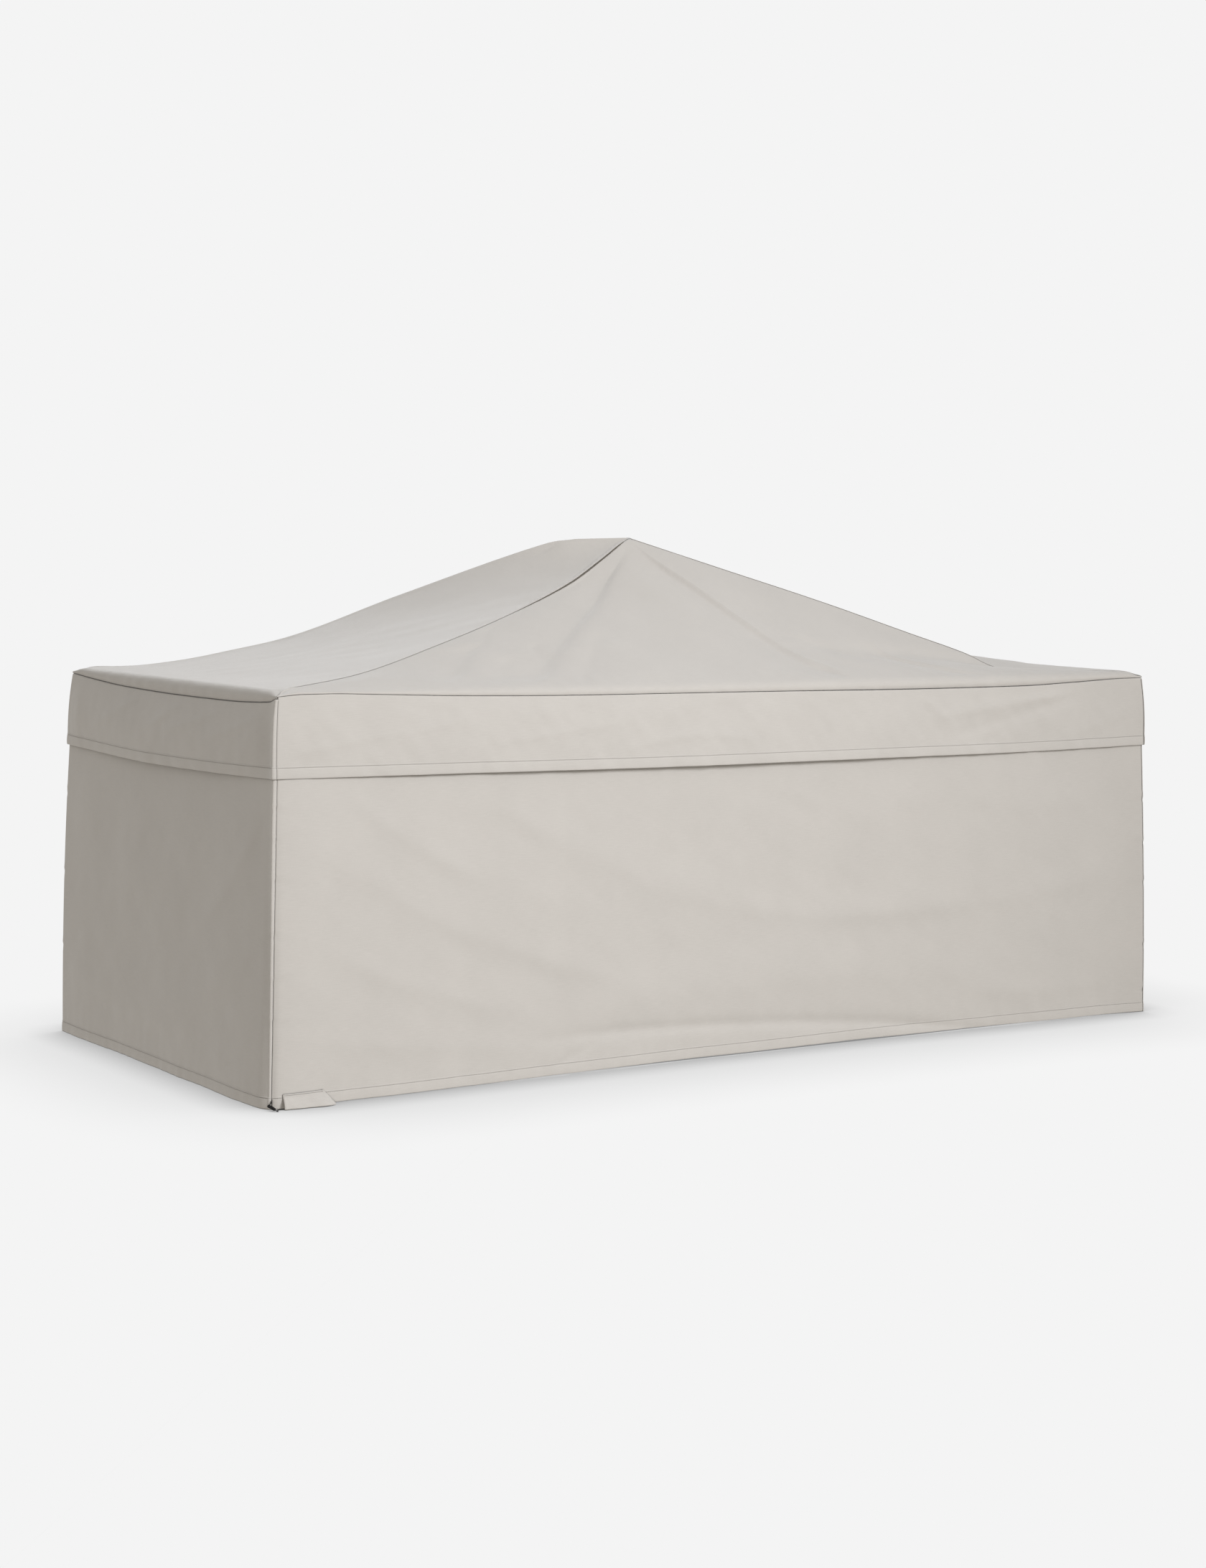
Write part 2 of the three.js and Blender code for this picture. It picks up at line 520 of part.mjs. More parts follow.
// Turns a shape made along +Y so that it runs from one point to another, centred between them.
function aim(geometry, from, to) {
  const axis = to.clone().sub(from).normalize();
  geometry.applyQuaternion(new THREE.Quaternion().setFromUnitVectors(new THREE.Vector3(0, 1, 0), axis));
  const centre = from.clone().add(to).multiplyScalar(0.5);
  return geometry.translate(centre.x, centre.y, centre.z);
}

function cordLock() {
  const [upper, lower] = [new THREE.Vector3(...LOCK.upper), new THREE.Vector3(...LOCK.lower)];
  const length = upper.distanceTo(lower);
  const rim = LOCK.radius;
  const half = length / 2;
  const grooved = half - LOCK.button + LOCK.shoulder;
  const button = grooved + LOCK.bevel;
  const profile = [
    [0, -half], [rim - LOCK.bevel, -half], [rim, -half + LOCK.bevel], [rim, half - LOCK.button],
    [rim - LOCK.groove, grooved], [rim - LOCK.groove, button],
    [rim - LOCK.step, button + LOCK.shoulder], [rim - LOCK.step, half - LOCK.bevel],
    [rim - LOCK.step - LOCK.bevel, half], [0, half],
  ].map(([x, y]) => new THREE.Vector2(x, y));
  const barrel = aim(new THREE.LatheGeometry(profile, LOCK_SIDES), upper, lower);
  const centre = upper.clone().add(lower).multiplyScalar(0.5);
  const heading = new THREE.Vector3(...LOCK.boreHeading).normalize().multiplyScalar(BORE_LENGTH / 2);
  const drill = aim(
    new THREE.CylinderGeometry(LOCK.bore, LOCK.bore, BORE_LENGTH, BORE_SIDES),
    centre.clone().sub(heading),
    centre.clone().add(heading),
  );
  return toGeometry(toSolid(barrel).subtract(toSolid(drill)));
}

const matt = (color, roughness) => new THREE.MeshStandardMaterial({ color, roughness, metalness: 0 });
const clothFinish = () => matt(CLOTH_COLOUR, 0.9);
const cordFinish = () => matt(CORD_COLOUR, 0.6);

const cover = new THREE.Group();

function add(name, geometry, material) {
  const mesh = new THREE.Mesh(geometry, material);
  mesh.name = name;
  cover.add(mesh);
}

for (const side of SIDES) {
  add(`roof_${side.name}`, gore(side), clothFinish());
  add(`valance_${side.name}`, valance(side), clothFinish());
  add(`wall_${side.name}`, wall(side), clothFinish());
}
add('hem_pocket', hemPocket(), clothFinish());
add('drawcord', drawcord(), cordFinish());
add('cord_lock', cordLock(), cordFinish());

export default cover;
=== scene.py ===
"""Studio scene of a fitted patio table cover.

The cover's panels are rebuilt as fine closed sheets on the shape of its solids, with the folds,
seams, hems and stitches of the sewn cloth. All lengths are in metres.
"""

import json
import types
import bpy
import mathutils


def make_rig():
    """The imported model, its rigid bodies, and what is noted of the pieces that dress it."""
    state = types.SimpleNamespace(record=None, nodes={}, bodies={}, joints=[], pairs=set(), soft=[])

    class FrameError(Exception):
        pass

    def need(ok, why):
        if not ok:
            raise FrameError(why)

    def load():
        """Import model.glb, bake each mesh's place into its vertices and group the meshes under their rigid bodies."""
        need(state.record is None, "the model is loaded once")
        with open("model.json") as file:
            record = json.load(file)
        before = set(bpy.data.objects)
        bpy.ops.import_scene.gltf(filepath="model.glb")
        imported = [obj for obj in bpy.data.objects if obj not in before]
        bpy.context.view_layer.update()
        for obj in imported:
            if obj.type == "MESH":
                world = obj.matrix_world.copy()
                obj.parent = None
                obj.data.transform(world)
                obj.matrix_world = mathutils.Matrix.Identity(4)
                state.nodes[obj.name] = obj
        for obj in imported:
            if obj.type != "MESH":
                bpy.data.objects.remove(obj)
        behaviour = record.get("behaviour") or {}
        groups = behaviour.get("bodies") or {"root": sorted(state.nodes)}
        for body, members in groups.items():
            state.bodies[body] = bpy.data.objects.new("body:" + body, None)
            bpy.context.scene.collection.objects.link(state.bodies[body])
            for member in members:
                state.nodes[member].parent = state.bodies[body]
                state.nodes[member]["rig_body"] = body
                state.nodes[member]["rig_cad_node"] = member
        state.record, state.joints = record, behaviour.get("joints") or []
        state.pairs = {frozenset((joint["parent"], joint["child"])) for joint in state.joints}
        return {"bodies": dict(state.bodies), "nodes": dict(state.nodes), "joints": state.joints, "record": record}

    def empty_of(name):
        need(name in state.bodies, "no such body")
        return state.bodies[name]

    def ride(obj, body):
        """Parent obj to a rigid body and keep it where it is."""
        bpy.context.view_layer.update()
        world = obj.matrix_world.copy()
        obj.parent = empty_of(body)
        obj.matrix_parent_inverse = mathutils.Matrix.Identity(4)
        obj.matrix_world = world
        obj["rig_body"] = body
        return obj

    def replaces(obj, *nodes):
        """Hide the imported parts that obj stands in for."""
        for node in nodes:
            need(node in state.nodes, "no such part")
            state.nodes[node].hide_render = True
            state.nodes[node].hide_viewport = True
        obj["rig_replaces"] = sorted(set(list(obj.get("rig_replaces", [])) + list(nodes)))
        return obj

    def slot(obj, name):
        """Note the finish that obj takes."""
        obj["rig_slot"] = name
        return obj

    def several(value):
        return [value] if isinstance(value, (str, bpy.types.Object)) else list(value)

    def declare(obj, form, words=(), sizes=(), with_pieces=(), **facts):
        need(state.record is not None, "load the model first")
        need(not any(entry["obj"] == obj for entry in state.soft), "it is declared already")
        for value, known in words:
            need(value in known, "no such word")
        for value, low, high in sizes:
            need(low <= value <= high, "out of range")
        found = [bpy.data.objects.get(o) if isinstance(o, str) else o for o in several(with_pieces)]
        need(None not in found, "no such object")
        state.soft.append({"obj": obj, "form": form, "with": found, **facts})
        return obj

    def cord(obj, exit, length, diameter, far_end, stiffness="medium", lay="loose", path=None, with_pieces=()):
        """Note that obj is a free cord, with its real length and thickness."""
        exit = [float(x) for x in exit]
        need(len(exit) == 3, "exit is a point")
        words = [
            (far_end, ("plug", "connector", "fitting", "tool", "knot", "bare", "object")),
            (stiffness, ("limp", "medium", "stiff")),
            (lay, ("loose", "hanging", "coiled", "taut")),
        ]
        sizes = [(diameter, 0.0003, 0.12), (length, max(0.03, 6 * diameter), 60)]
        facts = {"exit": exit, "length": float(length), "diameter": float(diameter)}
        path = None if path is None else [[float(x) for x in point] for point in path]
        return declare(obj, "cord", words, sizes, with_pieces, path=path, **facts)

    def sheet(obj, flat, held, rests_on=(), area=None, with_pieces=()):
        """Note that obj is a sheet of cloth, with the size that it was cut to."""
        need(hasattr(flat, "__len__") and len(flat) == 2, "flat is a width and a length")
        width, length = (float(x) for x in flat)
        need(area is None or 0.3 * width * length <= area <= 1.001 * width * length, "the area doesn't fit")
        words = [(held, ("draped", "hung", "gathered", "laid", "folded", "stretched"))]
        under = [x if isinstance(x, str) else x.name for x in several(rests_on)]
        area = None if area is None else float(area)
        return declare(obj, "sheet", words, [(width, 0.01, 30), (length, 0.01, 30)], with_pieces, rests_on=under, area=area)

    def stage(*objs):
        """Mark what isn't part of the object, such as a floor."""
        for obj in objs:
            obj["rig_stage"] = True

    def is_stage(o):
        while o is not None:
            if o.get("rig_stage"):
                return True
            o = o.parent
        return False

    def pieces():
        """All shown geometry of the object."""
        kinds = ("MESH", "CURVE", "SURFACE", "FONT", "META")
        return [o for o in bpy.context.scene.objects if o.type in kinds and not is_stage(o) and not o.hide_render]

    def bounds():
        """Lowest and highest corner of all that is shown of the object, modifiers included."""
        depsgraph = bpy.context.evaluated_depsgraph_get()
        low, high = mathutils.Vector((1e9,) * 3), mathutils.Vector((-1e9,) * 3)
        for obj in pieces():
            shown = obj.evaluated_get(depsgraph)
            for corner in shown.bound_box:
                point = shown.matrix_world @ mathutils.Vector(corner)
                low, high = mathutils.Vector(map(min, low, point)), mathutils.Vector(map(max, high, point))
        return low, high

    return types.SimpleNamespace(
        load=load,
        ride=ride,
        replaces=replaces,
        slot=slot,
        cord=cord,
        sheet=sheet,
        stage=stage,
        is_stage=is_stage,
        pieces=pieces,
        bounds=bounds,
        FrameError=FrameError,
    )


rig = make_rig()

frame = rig.load()

import json
import logging
import math
from abc import ABC, abstractmethod
from collections.abc import Iterator, Sequence
from dataclasses import dataclass, field
from enum import Enum, IntEnum

import bpy
import numpy as np
from mathutils import Matrix, Vector

Array = np.ndarray
Feeds = dict[str | int, object]
LOG = logging.getLogger("patio_cover")
CAD_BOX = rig.bounds()

TOP_LENGTH, TOP_WIDTH = 2.138, 0.898
HALF_LENGTH, HALF_WIDTH = TOP_LENGTH / 2, TOP_WIDTH / 2
TABLE_LEVEL, APEX_HEIGHT = 0.757, 1.035
SEAM_HEIGHT, VALANCE_BOTTOM = 0.743, 0.597
CLOTH = 0.0016
HEM_DEPTH, HEM_EXTRA = 0.022, 0.0008
SEAM_GAP = 0.0003
TABLE_EDGE = 0.016
STITCH_LINE = 0.0202
CORNER_RADIUS, CORNER_WRAP = 0.003, 0.0036
SEAM_GAPE = 0.0022


class Side(Enum):
    """The four sides of the cover."""

    FRONT = "front"
    BACK = "back"
    LEFT = "left"
    RIGHT = "right"


class Grain(IntEnum):
    """First seed of each kind of ripple. A side adds its own number to it."""

    WALL_BROAD = 11
    WALL_SOFT = 21
    WALL_HEM = 31
    VALANCE_BROAD = 41
    VALANCE_SOFT = 51
    VALANCE_EDGE = 61
    VALANCE_SEAM = 71
    ROOF_BROAD = 81
    ROOF_SOFT = 91
    ROOF_EDGE = 101
    HIP_SEAM = 111
    ROOF_ROLL = 121
    POUCH = 131


def smooth(start: float, end: float, value: Array) -> Array:
    """Rise from 0 at `start` to 1 at `end` along a cubic, level at both ends.

    Args:
        start: Value where the rise begins.
        end: Value where it is complete.
        value: Where to evaluate it.

    Returns:
        3 t^2 - 2 t^3, with t the clamped share of the way from start to end.
    """
    t = np.clip((np.asarray(value, float) - start) / (end - start), 0.0, 1.0)
    return t * t * (3.0 - 2.0 * t)


def bump(distance: Array, before: float, after: float, sharp: float = 1.0) -> Array:
    """Ridge one unit high across a line, with its own width on each side.

    Args:
        distance: Signed distance from the line.
        before: Width on the negative side.
        after: Width on the positive side.
        sharp: 1 for a round crest, towards 0 for a creased one.

    Returns:
        exp(-2 (sqrt((d / w)^2 + sharp^2) - sharp)), which is close to a bell for sharp = 1.
    """
    scaled = distance / np.where(distance < 0, before, after)
    return np.exp(-2.0 * (np.sqrt(scaled**2 + sharp**2) - sharp))


def ripple(x: Array, y: Array, size: float, seed: int, waves: int = 12) -> Array:
    """Unevenness of soft cloth, as a sum of sine waves in seeded directions.

    Args:
        x: First coordinate on the cloth.
        y: Second coordinate on the cloth.
        size: Typical wavelength.
        seed: Chooses directions, lengths and phases.
        waves: Number of waves.

    Returns:
        sum of sin(k (x cos a + y sin a) + p), scaled to about one unit high.
    """
    rng = np.random.default_rng(seed)
    total = np.zeros(np.broadcast(x, y).shape)
    for _ in range(waves):
        angle, phase = rng.uniform(0, math.tau, 2)
        number = math.tau / (size * rng.uniform(0.7, 1.6))
        total += np.sin(number * (np.cos(angle) * x + np.sin(angle) * y) + phase)
    return total * math.sqrt(2.0 / waves) / 1.4


@dataclass(frozen=True)
class Curve:
    """Smooth curve through (at, value) knots that never overshoots between them."""

    knots: tuple[tuple[float, float], ...]

    def __call__(self, at: Array) -> Array:
        """Evaluate the cubic Hermite curve, with harmonic means of the slopes as its tangents.

        Args:
            at: Places along the curve, clamped to its ends.

        Returns:
            The values there.
        """
        x, y = np.array(self.knots, float).T
        span = np.diff(x)
        slope = np.diff(y) / span
        product = slope[:-1] * slope[1:]
        total = slope[:-1] + slope[1:]
        inner = np.where(product > 0, 2 * product / np.where(total == 0, 1, total), 0.0)
        tangent = np.concatenate([slope[:1], inner, slope[-1:]])
        at = np.clip(np.asarray(at, float), x[0], x[-1])
        k = np.clip(np.searchsorted(x, at, side="right") - 1, 0, len(x) - 2)
        t = (at - x[k]) / span[k]
        return (
            (2 * t**3 - 3 * t**2 + 1) * y[k]
            + (t**3 - 2 * t**2 + t) * span[k] * tangent[k]
            + (3 * t**2 - 2 * t**3) * y[k + 1]
            + (t**3 - t**2) * span[k] * tangent[k + 1]
        )


@dataclass(frozen=True)
class Swag:
    """Soft ridge of a hanging panel, from (x0, z0) to (x1, z1), that hangs by `sag` at mid-length.

    `out` is its height, negative for a trough, and `below` and `above` are its widths.
    """

    x0: float
    z0: float
    x1: float
    z1: float
    sag: float
    out: float
    below: float
    above: float
    sharp: float = 0.7

    def rise(self, along: Array, height: Array) -> Array:
        """Height of the ridge over the panel.

        Args:
            along: Place along the panel.
            height: Height above the floor.

        Returns:
            The bump across the parabola z0 + (z1 - z0) t - 4 sag t (1 - t), faded at its ends.
        """
        t = (along - self.x0) / (self.x1 - self.x0)
        line = self.z0 + (self.z1 - self.z0) * t - 4 * self.sag * t * (1 - t)
        steep = (self.z1 - self.z0 - 4 * self.sag * (1 - 2 * t)) / (self.x1 - self.x0)
        fade = smooth(-0.15, 0.15, t) * (1 - smooth(0.82, 1.15, t))
        distance = (height - line) / np.hypot(1.0, steep)
        return self.out * fade * bump(distance, self.below, self.above, self.sharp)


class FoldShape(Enum):
    """How a roof fold is shaped across its line."""

    VALLEY = "valley"
    LEE = "lee"


@dataclass(frozen=True)
class GoreFold:
    """Slack fold of a gore that runs down from near the apex.

    `path` gives its place across the gore, from -1 to 1, for a share of the way up. A valley has
    a flank `left` and a flank `right` wide. A lee drops from a crisp ridge, `right` wide, and
    rises again over the width `left`.
    """

    path: Curve
    lower: float
    upper: float
    depth: float
    left: float
    right: float
    shape: FoldShape = FoldShape.VALLEY
    sharp: float = 1.0

    def fall(self, across: Array, up: Array, half: float) -> Array:
        """Depth of the fold over its gore.

        Args:
            across: Place across the gore.
            up: Share of the way up to the apex.
            half: Half length of the gore's foot.

        Returns:
            The depth across the line, narrowing towards the apex and faded at both ends. Across a
            lee it is a quarter sine from the ridge to its foot, and a bell beyond.
        """
        down = np.clip((self.upper - up) / (self.upper - self.lower), 0, 1)
        offset = (across - self.path(up)) * (1 - up) * half / (0.35 + 0.65 * (1 - up))
        ends = smooth(0, 0.22, down) * smooth(self.lower - 0.05, self.lower + 0.08, up)
        if self.shape is FoldShape.VALLEY:
            return self.depth * ends * bump(offset, self.left, self.right, self.sharp)
        flank = np.sin(math.pi / 2 * np.clip(-offset / self.right, 0, 1))
        round_ridge = smooth(0, 0.35, -offset / self.right)
        beyond = np.exp(-(np.clip(-offset - self.right, 0, None) / self.left) ** 2)
        return self.depth * ends * flank * round_ridge**0.5 * beyond


@dataclass(frozen=True)
class SideShape:
    """Plan, hips, seam and feet of one side. `across` runs towards +X or +Y, `out` faces away."""

    side: Side
    half: float
    depth: float
    across: tuple[float, float]
    out: tuple[float, float]
    hips: tuple[Curve, Curve]
    middle: Curve
    seam_drop: Curve
    foot_out: Curve
    foot_lift: Curve
    belly: Curve
    valance_out: Curve
    valance_drop: Curve
    wraps: bool
    wall_swags: tuple[Swag, ...] = ()
    valance_swags: tuple[Swag, ...] = ()
    puckers: tuple[tuple[float, ...], tuple[float, ...]] = ((), ())
    folds: tuple[GoreFold, ...] = ()
    roll: Curve = Curve(((-1, 0.002), (-0.9, 0.006), (0.9, 0.006), (1, 0.002)))
    crest: float = -0.006
    gape: Curve = Curve(((-1, 0.001), (-0.95, SEAM_GAPE), (0.95, SEAM_GAPE), (1, 0.001)))
    billow: float = 0.003
    flare: Curve = Curve(((0, 0.0), (1, 0.0)))
    open_hem: bool = False
    coarse: float = 1.0

    def place(self, along: Array, outward: Array, height: Array) -> Array:
        """Put side coordinates in the row frame.

        Args:
            along: Distance along the side from its middle.
            outward: Distance from the cover's middle towards this side.
            height: Height above the floor.

        Returns:
            Points, one row frame position for each set of coordinates.
        """
        along, outward, height = np.broadcast_arrays(along, outward, height)
        x = self.across[0] * along + self.out[0] * outward
        y = self.across[1] * along + self.out[1] * outward
        return np.stack([x, y, height], axis=-1)

    @property
    def seed(self) -> int:
        """Number of the side, which its ripples start from."""
        return list(Side).index(self.side)

    def seam_height(self, share: Array) -> Array:
        """Height of the top seam at a share of the way across, from -1 to 1."""
        return SEAM_HEIGHT - self.seam_drop(share)


HIP_FRONT_LEFT = Curve((
    (0, 0), (0.054, 0.018), (0.18, 0.066), (0.43, 0.263), (0.617, 0.442), (0.8, 0.658),
    (0.915, 0.853), (0.974, 0.962), (1, 1),
))
HIP_FRONT_RIGHT = Curve((
    (0, 0), (0.22, 0.003), (0.27, 0.022), (0.34, 0.138), (0.45, 0.288), (0.62, 0.52),
    (0.83, 0.785), (1, 1),
))
HIP_BACK_LEFT = Curve((
    (0, 0), (0.08, 0.007), (0.17, 0.05), (0.27, 0.133), (0.36, 0.22), (0.57, 0.547),
    (0.857, 0.966), (0.869, 0.979), (0.881, 0.982), (1, 1),
))
HIP_BACK_RIGHT = Curve(((0, 0), (0.12, 0.02), (0.25, 0.09), (0.45, 0.29), (0.7, 0.6), (1, 1)))

SHAPES: dict[Side, SideShape] = {
    Side.FRONT: SideShape(
        side=Side.FRONT, half=HALF_LENGTH, depth=HALF_WIDTH, across=(1, 0), out=(0, -1),
        hips=(HIP_FRONT_LEFT, HIP_FRONT_RIGHT),
        middle=Curve(((0, 0), (0.25, 0.21), (0.5, 0.45), (0.75, 0.71), (1, 1))),
        seam_drop=Curve((
            (-1, -0.002), (-0.95, -0.0055), (-0.9, -0.0055), (-0.81, -0.0025), (-0.63, 0.004),
            (-0.4, 0.008), (0, 0.0098), (0.44, 0.0128), (0.66, 0.012), (0.82, 0.0064),
            (0.94, 0.0008), (1, 0),
        )),
        foot_out=Curve((
            (-1, 0.0245), (-0.985, 0.03), (-0.96, 0.0315), (-0.88, 0.026), (-0.79, 0.0242),
            (-0.7, 0.0222), (-0.62, 0.0172), (-0.53, 0.0145), (-0.43, 0.0105), (-0.3, 0.0065),
            (-0.1, 0.0005), (0.1, 0.0005), (0.27, -0.003), (0.38, -0.001), (0.49, 0.0038),
            (0.6, 0.0085), (0.72, 0.0105), (0.84, 0.0105), (0.95, 0.014), (1, 0.02),
        )),
        foot_lift=Curve((
            (-1, 0), (-0.9, 0.001), (-0.62, 0.001), (-0.5, 0.002), (-0.35, 0.003), (0.65, 0.003),
            (0.85, 0.002), (1, 0),
        )),
        belly=Curve(((-1, 1), (-0.06, 1), (0.36, 1.1), (0.64, 1.3), (0.9, 1.5), (1, 1.5))),
        valance_out=Curve(((-1, 0.007), (-0.7, 0.011), (-0.1, 0.012), (0.6, 0.008), (1, 0.0075))),
        valance_drop=Curve(((-1, 0), (-0.7, 0.002), (-0.1, 0.007), (0.6, 0.007), (1, 0.002))),
        wraps=False,
        wall_swags=(
            Swag(-0.645, 0.561, 0.505, 0.274, 0.104, 0.0032, 0.03, 0.046),
            Swag(-0.943, 0.583, -0.643, 0.397, 0.017, 0.0022, 0.02, 0.03),
            Swag(-1.012, 0.479, -0.32, 0.181, 0.035, 0.0032, 0.026, 0.042),
            Swag(-1.045, 0.318, -0.539, 0.133, 0.019, 0.0026, 0.024, 0.04),
            Swag(-1.032, 0.122, -0.538, 0.063, 0.004, 0.002, 0.02, 0.03),
            Swag(-0.398, 0.122, 0.588, 0.125, -0.024, 0.0042, 0.045, 0.07),
            Swag(-0.423, 0.074, 0.606, 0.003, -0.017, -0.0064, 0.013, 0.017, 0.45),
            Swag(-0.474, 0.02, -0.345, 0.07, 0.004, -0.0018, 0.008, 0.01, 0.4),
            Swag(0.205, 0.275, 1.04, 0.322, 0.022, 0.0026, 0.026, 0.042),
            Swag(0.589, 0.089, 1.04, 0.088, 0.018, 0.0026, 0.02, 0.032),
            Swag(-0.02, 0.566, 0.2, 0.5, 0.004, 0.0016, 0.016, 0.024),
            Swag(0.25, 0.56, 0.98, 0.48, 0.03, 0.0016, 0.03, 0.05),
        ),
        valance_swags=(
            Swag(-0.909, 0.662, -0.67, 0.692, 0.002, 0.0009, 0.008, 0.014),
            Swag(-0.608, 0.648, -0.302, 0.683, 0.001, 0.0012, 0.008, 0.015),
            Swag(-0.301, 0.628, -0.017, 0.64, -0.016, 0.0016, 0.01, 0.014),
            Swag(0.493, 0.674, 0.839, 0.716, 0.002, 0.0034, 0.011, 0.018, 1.0),
            Swag(0.525, 0.632, 0.856, 0.701, 0.0, -0.003, 0.013, 0.014, 1.0),
            Swag(0.44, 0.715, 0.52, 0.655, 0.002, 0.002, 0.01, 0.012, 1.0),
            Swag(0.6, 0.61, 0.68, 0.645, 0.0, -0.0016, 0.01, 0.012, 1.0),
            Swag(0.84, 0.62, 1.04, 0.68, 0.004, 0.002, 0.016, 0.02, 1.0),
            Swag(-1.05, 0.64, -0.9, 0.662, 0.001, 0.0012, 0.01, 0.012),
        ),
        puckers=((0.542, 0.482, 0.411, 0.314, 0.228, 0.156), (0.476, 0.376, 0.289, 0.151, 0.05)),
        folds=(
            GoreFold(
                Curve(((0.05, -0.5), (0.2, -0.51), (0.38, -0.518), (0.65, -0.513), (0.8, -0.54),
                       (0.9, -0.48), (0.985, -0.4))),
                0.04, 0.99, 0.0085, 0.12, 0.036),
            GoreFold(
                Curve(((0.08, 0.255), (0.17, 0.238), (0.3, 0.238), (0.56, 0.235), (0.71, 0.225),
                       (0.82, 0.185), (0.93, 0.115))),
                0.03, 0.99, 0.01, 0.11, 0.024, FoldShape.LEE),
            GoreFold(Curve(((0.1, 0.3), (0.3, 0.25), (0.45, 0.23))), 0.06, 0.42, 0.0025, 0.05, 0.05),
            GoreFold(Curve(((0.02, 0.59), (0.08, 0.575), (0.22, 0.58), (0.34, 0.62))),
                     0.0, 0.36, 0.006, 0.06, 0.018, FoldShape.LEE),
            GoreFold(Curve(((0.2, 0.43), (0.3, 0.385), (0.38, 0.31), (0.6, 0.33))),
                     0.14, 0.6, 0.003, 0.05, 0.04),
            GoreFold(Curve(((0.23, -0.515), (0.34, -0.605))), 0.19, 0.37, 0.0024, 0.016, 0.012),
            GoreFold(Curve(((0.05, -0.7), (0.15, -0.722), (0.21, -0.75), (0.34, -0.815))),
                     0.06, 0.4, 0.0042, 0.055, 0.026),
            GoreFold(Curve(((0.38, -0.79), (0.5, -0.915))), 0.36, 0.54, 0.002, 0.022, 0.018),
            GoreFold(Curve(((0.04, -0.568), (0.2, -0.625))), 0.04, 0.26, 0.0024, 0.045, 0.024),
            GoreFold(Curve(((0.05, -0.38), (0.2, -0.385), (0.34, -0.385))),
                     0.05, 0.4, 0.0022, 0.03, 0.026),
            GoreFold(Curve(((0.01, -0.372), (0.07, -0.388))), 0.01, 0.09, 0.0016, 0.008, 0.007),
            GoreFold(Curve(((0.05, 0.02), (0.6, 0.06))), 0.08, 0.62, 0.0014, 0.07, 0.06),
            GoreFold(Curve(((0.05, -0.2), (0.75, -0.22))), 0.2, 0.76, 0.0012, 0.06, 0.05),
        ),
        roll=Curve((
            (-1, 0.002), (-0.97, 0.004), (0.25, 0.005), (0.42, 0.008), (0.88, 0.008), (0.97, 0.003),
            (1, 0.002),
        )),
        gape=Curve((
            (-1, 0.0005), (-0.2, 0.0006), (0.05, 0.001), (0.3, SEAM_GAPE), (0.85, SEAM_GAPE),
            (0.95, 0.0012), (1, 0.0008),
        )),
        billow=0.002, open_hem=True,
    ),
    Side.BACK: SideShape(
        side=Side.BACK, coarse=1.5, half=HALF_LENGTH, depth=HALF_WIDTH, across=(1, 0), out=(0, 1),
        hips=(HIP_BACK_LEFT, HIP_BACK_RIGHT),
        middle=Curve(((0, 0), (0.25, 0.22), (0.5, 0.47), (0.75, 0.74), (1, 1))),
        seam_drop=Curve(((-1, 0), (-0.6, 0.008), (0, 0.012), (0.6, 0.009), (1, 0))),
        foot_out=Curve(((-1, 0.019), (-0.4, 0.028), (0.3, 0.03), (1, 0.02))),
        foot_lift=Curve(((-1, 0), (1, 0))),
        belly=Curve(((-1, 2.2), (-0.4, 1.4), (0.3, 1.2), (1, 1.4))),
        valance_out=Curve(((-1, 0.0095), (0, 0.016), (1, 0.008))),
        valance_drop=Curve(((-1, 0), (0, 0.008), (1, 0.002))),
        wraps=False,
        wall_swags=(
            Swag(-0.9, 0.52, 0.5, 0.24, 0.09, 0.0032, 0.045, 0.065),
            Swag(-0.2, 0.2, 0.9, 0.3, 0.06, 0.0032, 0.045, 0.065),
            Swag(-0.95, 0.33, -0.2, 0.15, 0.04, 0.0024, 0.03, 0.045),
            Swag(0.3, 0.42, 1.0, 0.52, 0.03, 0.0024, 0.03, 0.045),
        ),
        valance_swags=(
            Swag(-0.8, 0.69, -0.3, 0.64, 0.01, 0.0018, 0.01, 0.014),
            Swag(0.1, 0.64, 0.6, 0.7, 0.006, 0.0018, 0.01, 0.014),
        ),
        puckers=((0.52, 0.36, 0.21, 0.09), (0.47, 0.3, 0.17)),
    ),
    Side.LEFT: SideShape(
        side=Side.LEFT, half=HALF_WIDTH, depth=HALF_LENGTH, across=(0, 1), out=(-1, 0),
        hips=(HIP_FRONT_LEFT, HIP_BACK_LEFT),
        middle=Curve(((0, 0), (0.1, 0.035), (0.3, 0.165), (0.5, 0.36), (0.75, 0.68), (1, 1))),
        seam_drop=Curve((
            (-1, 0.002), (-0.94, 0.009), (-0.55, 0.016), (-0.1, 0.017), (0.41, 0.014),
            (0.8, 0.006), (1, 0),
        )),
        foot_out=Curve((
            (-1, 0.0245), (-0.98, 0.0285), (-0.94, 0.034), (-0.87, 0.0355), (-0.755, 0.0365),
            (-0.62, 0.0352), (-0.4, 0.0305), (-0.25, 0.03), (0.127, 0.0255), (0.32, 0.0245),
            (0.46, 0.0225), (0.7, 0.0225), (1, 0.019),
        )),
        foot_lift=Curve(((-1, 0), (1, 0))),
        belly=Curve(((-1, 1), (-0.8, 1.1), (-0.5, 1.3), (0.1, 1.6), (1, 2.2))),
        valance_out=Curve(((-1, 0.007), (-0.5, 0.014), (0.1, 0.016), (1, 0.0095))),
        valance_drop=Curve(((-1, 0), (-0.5, 0.005), (0.1, 0.008), (1, 0))),
        wraps=True,
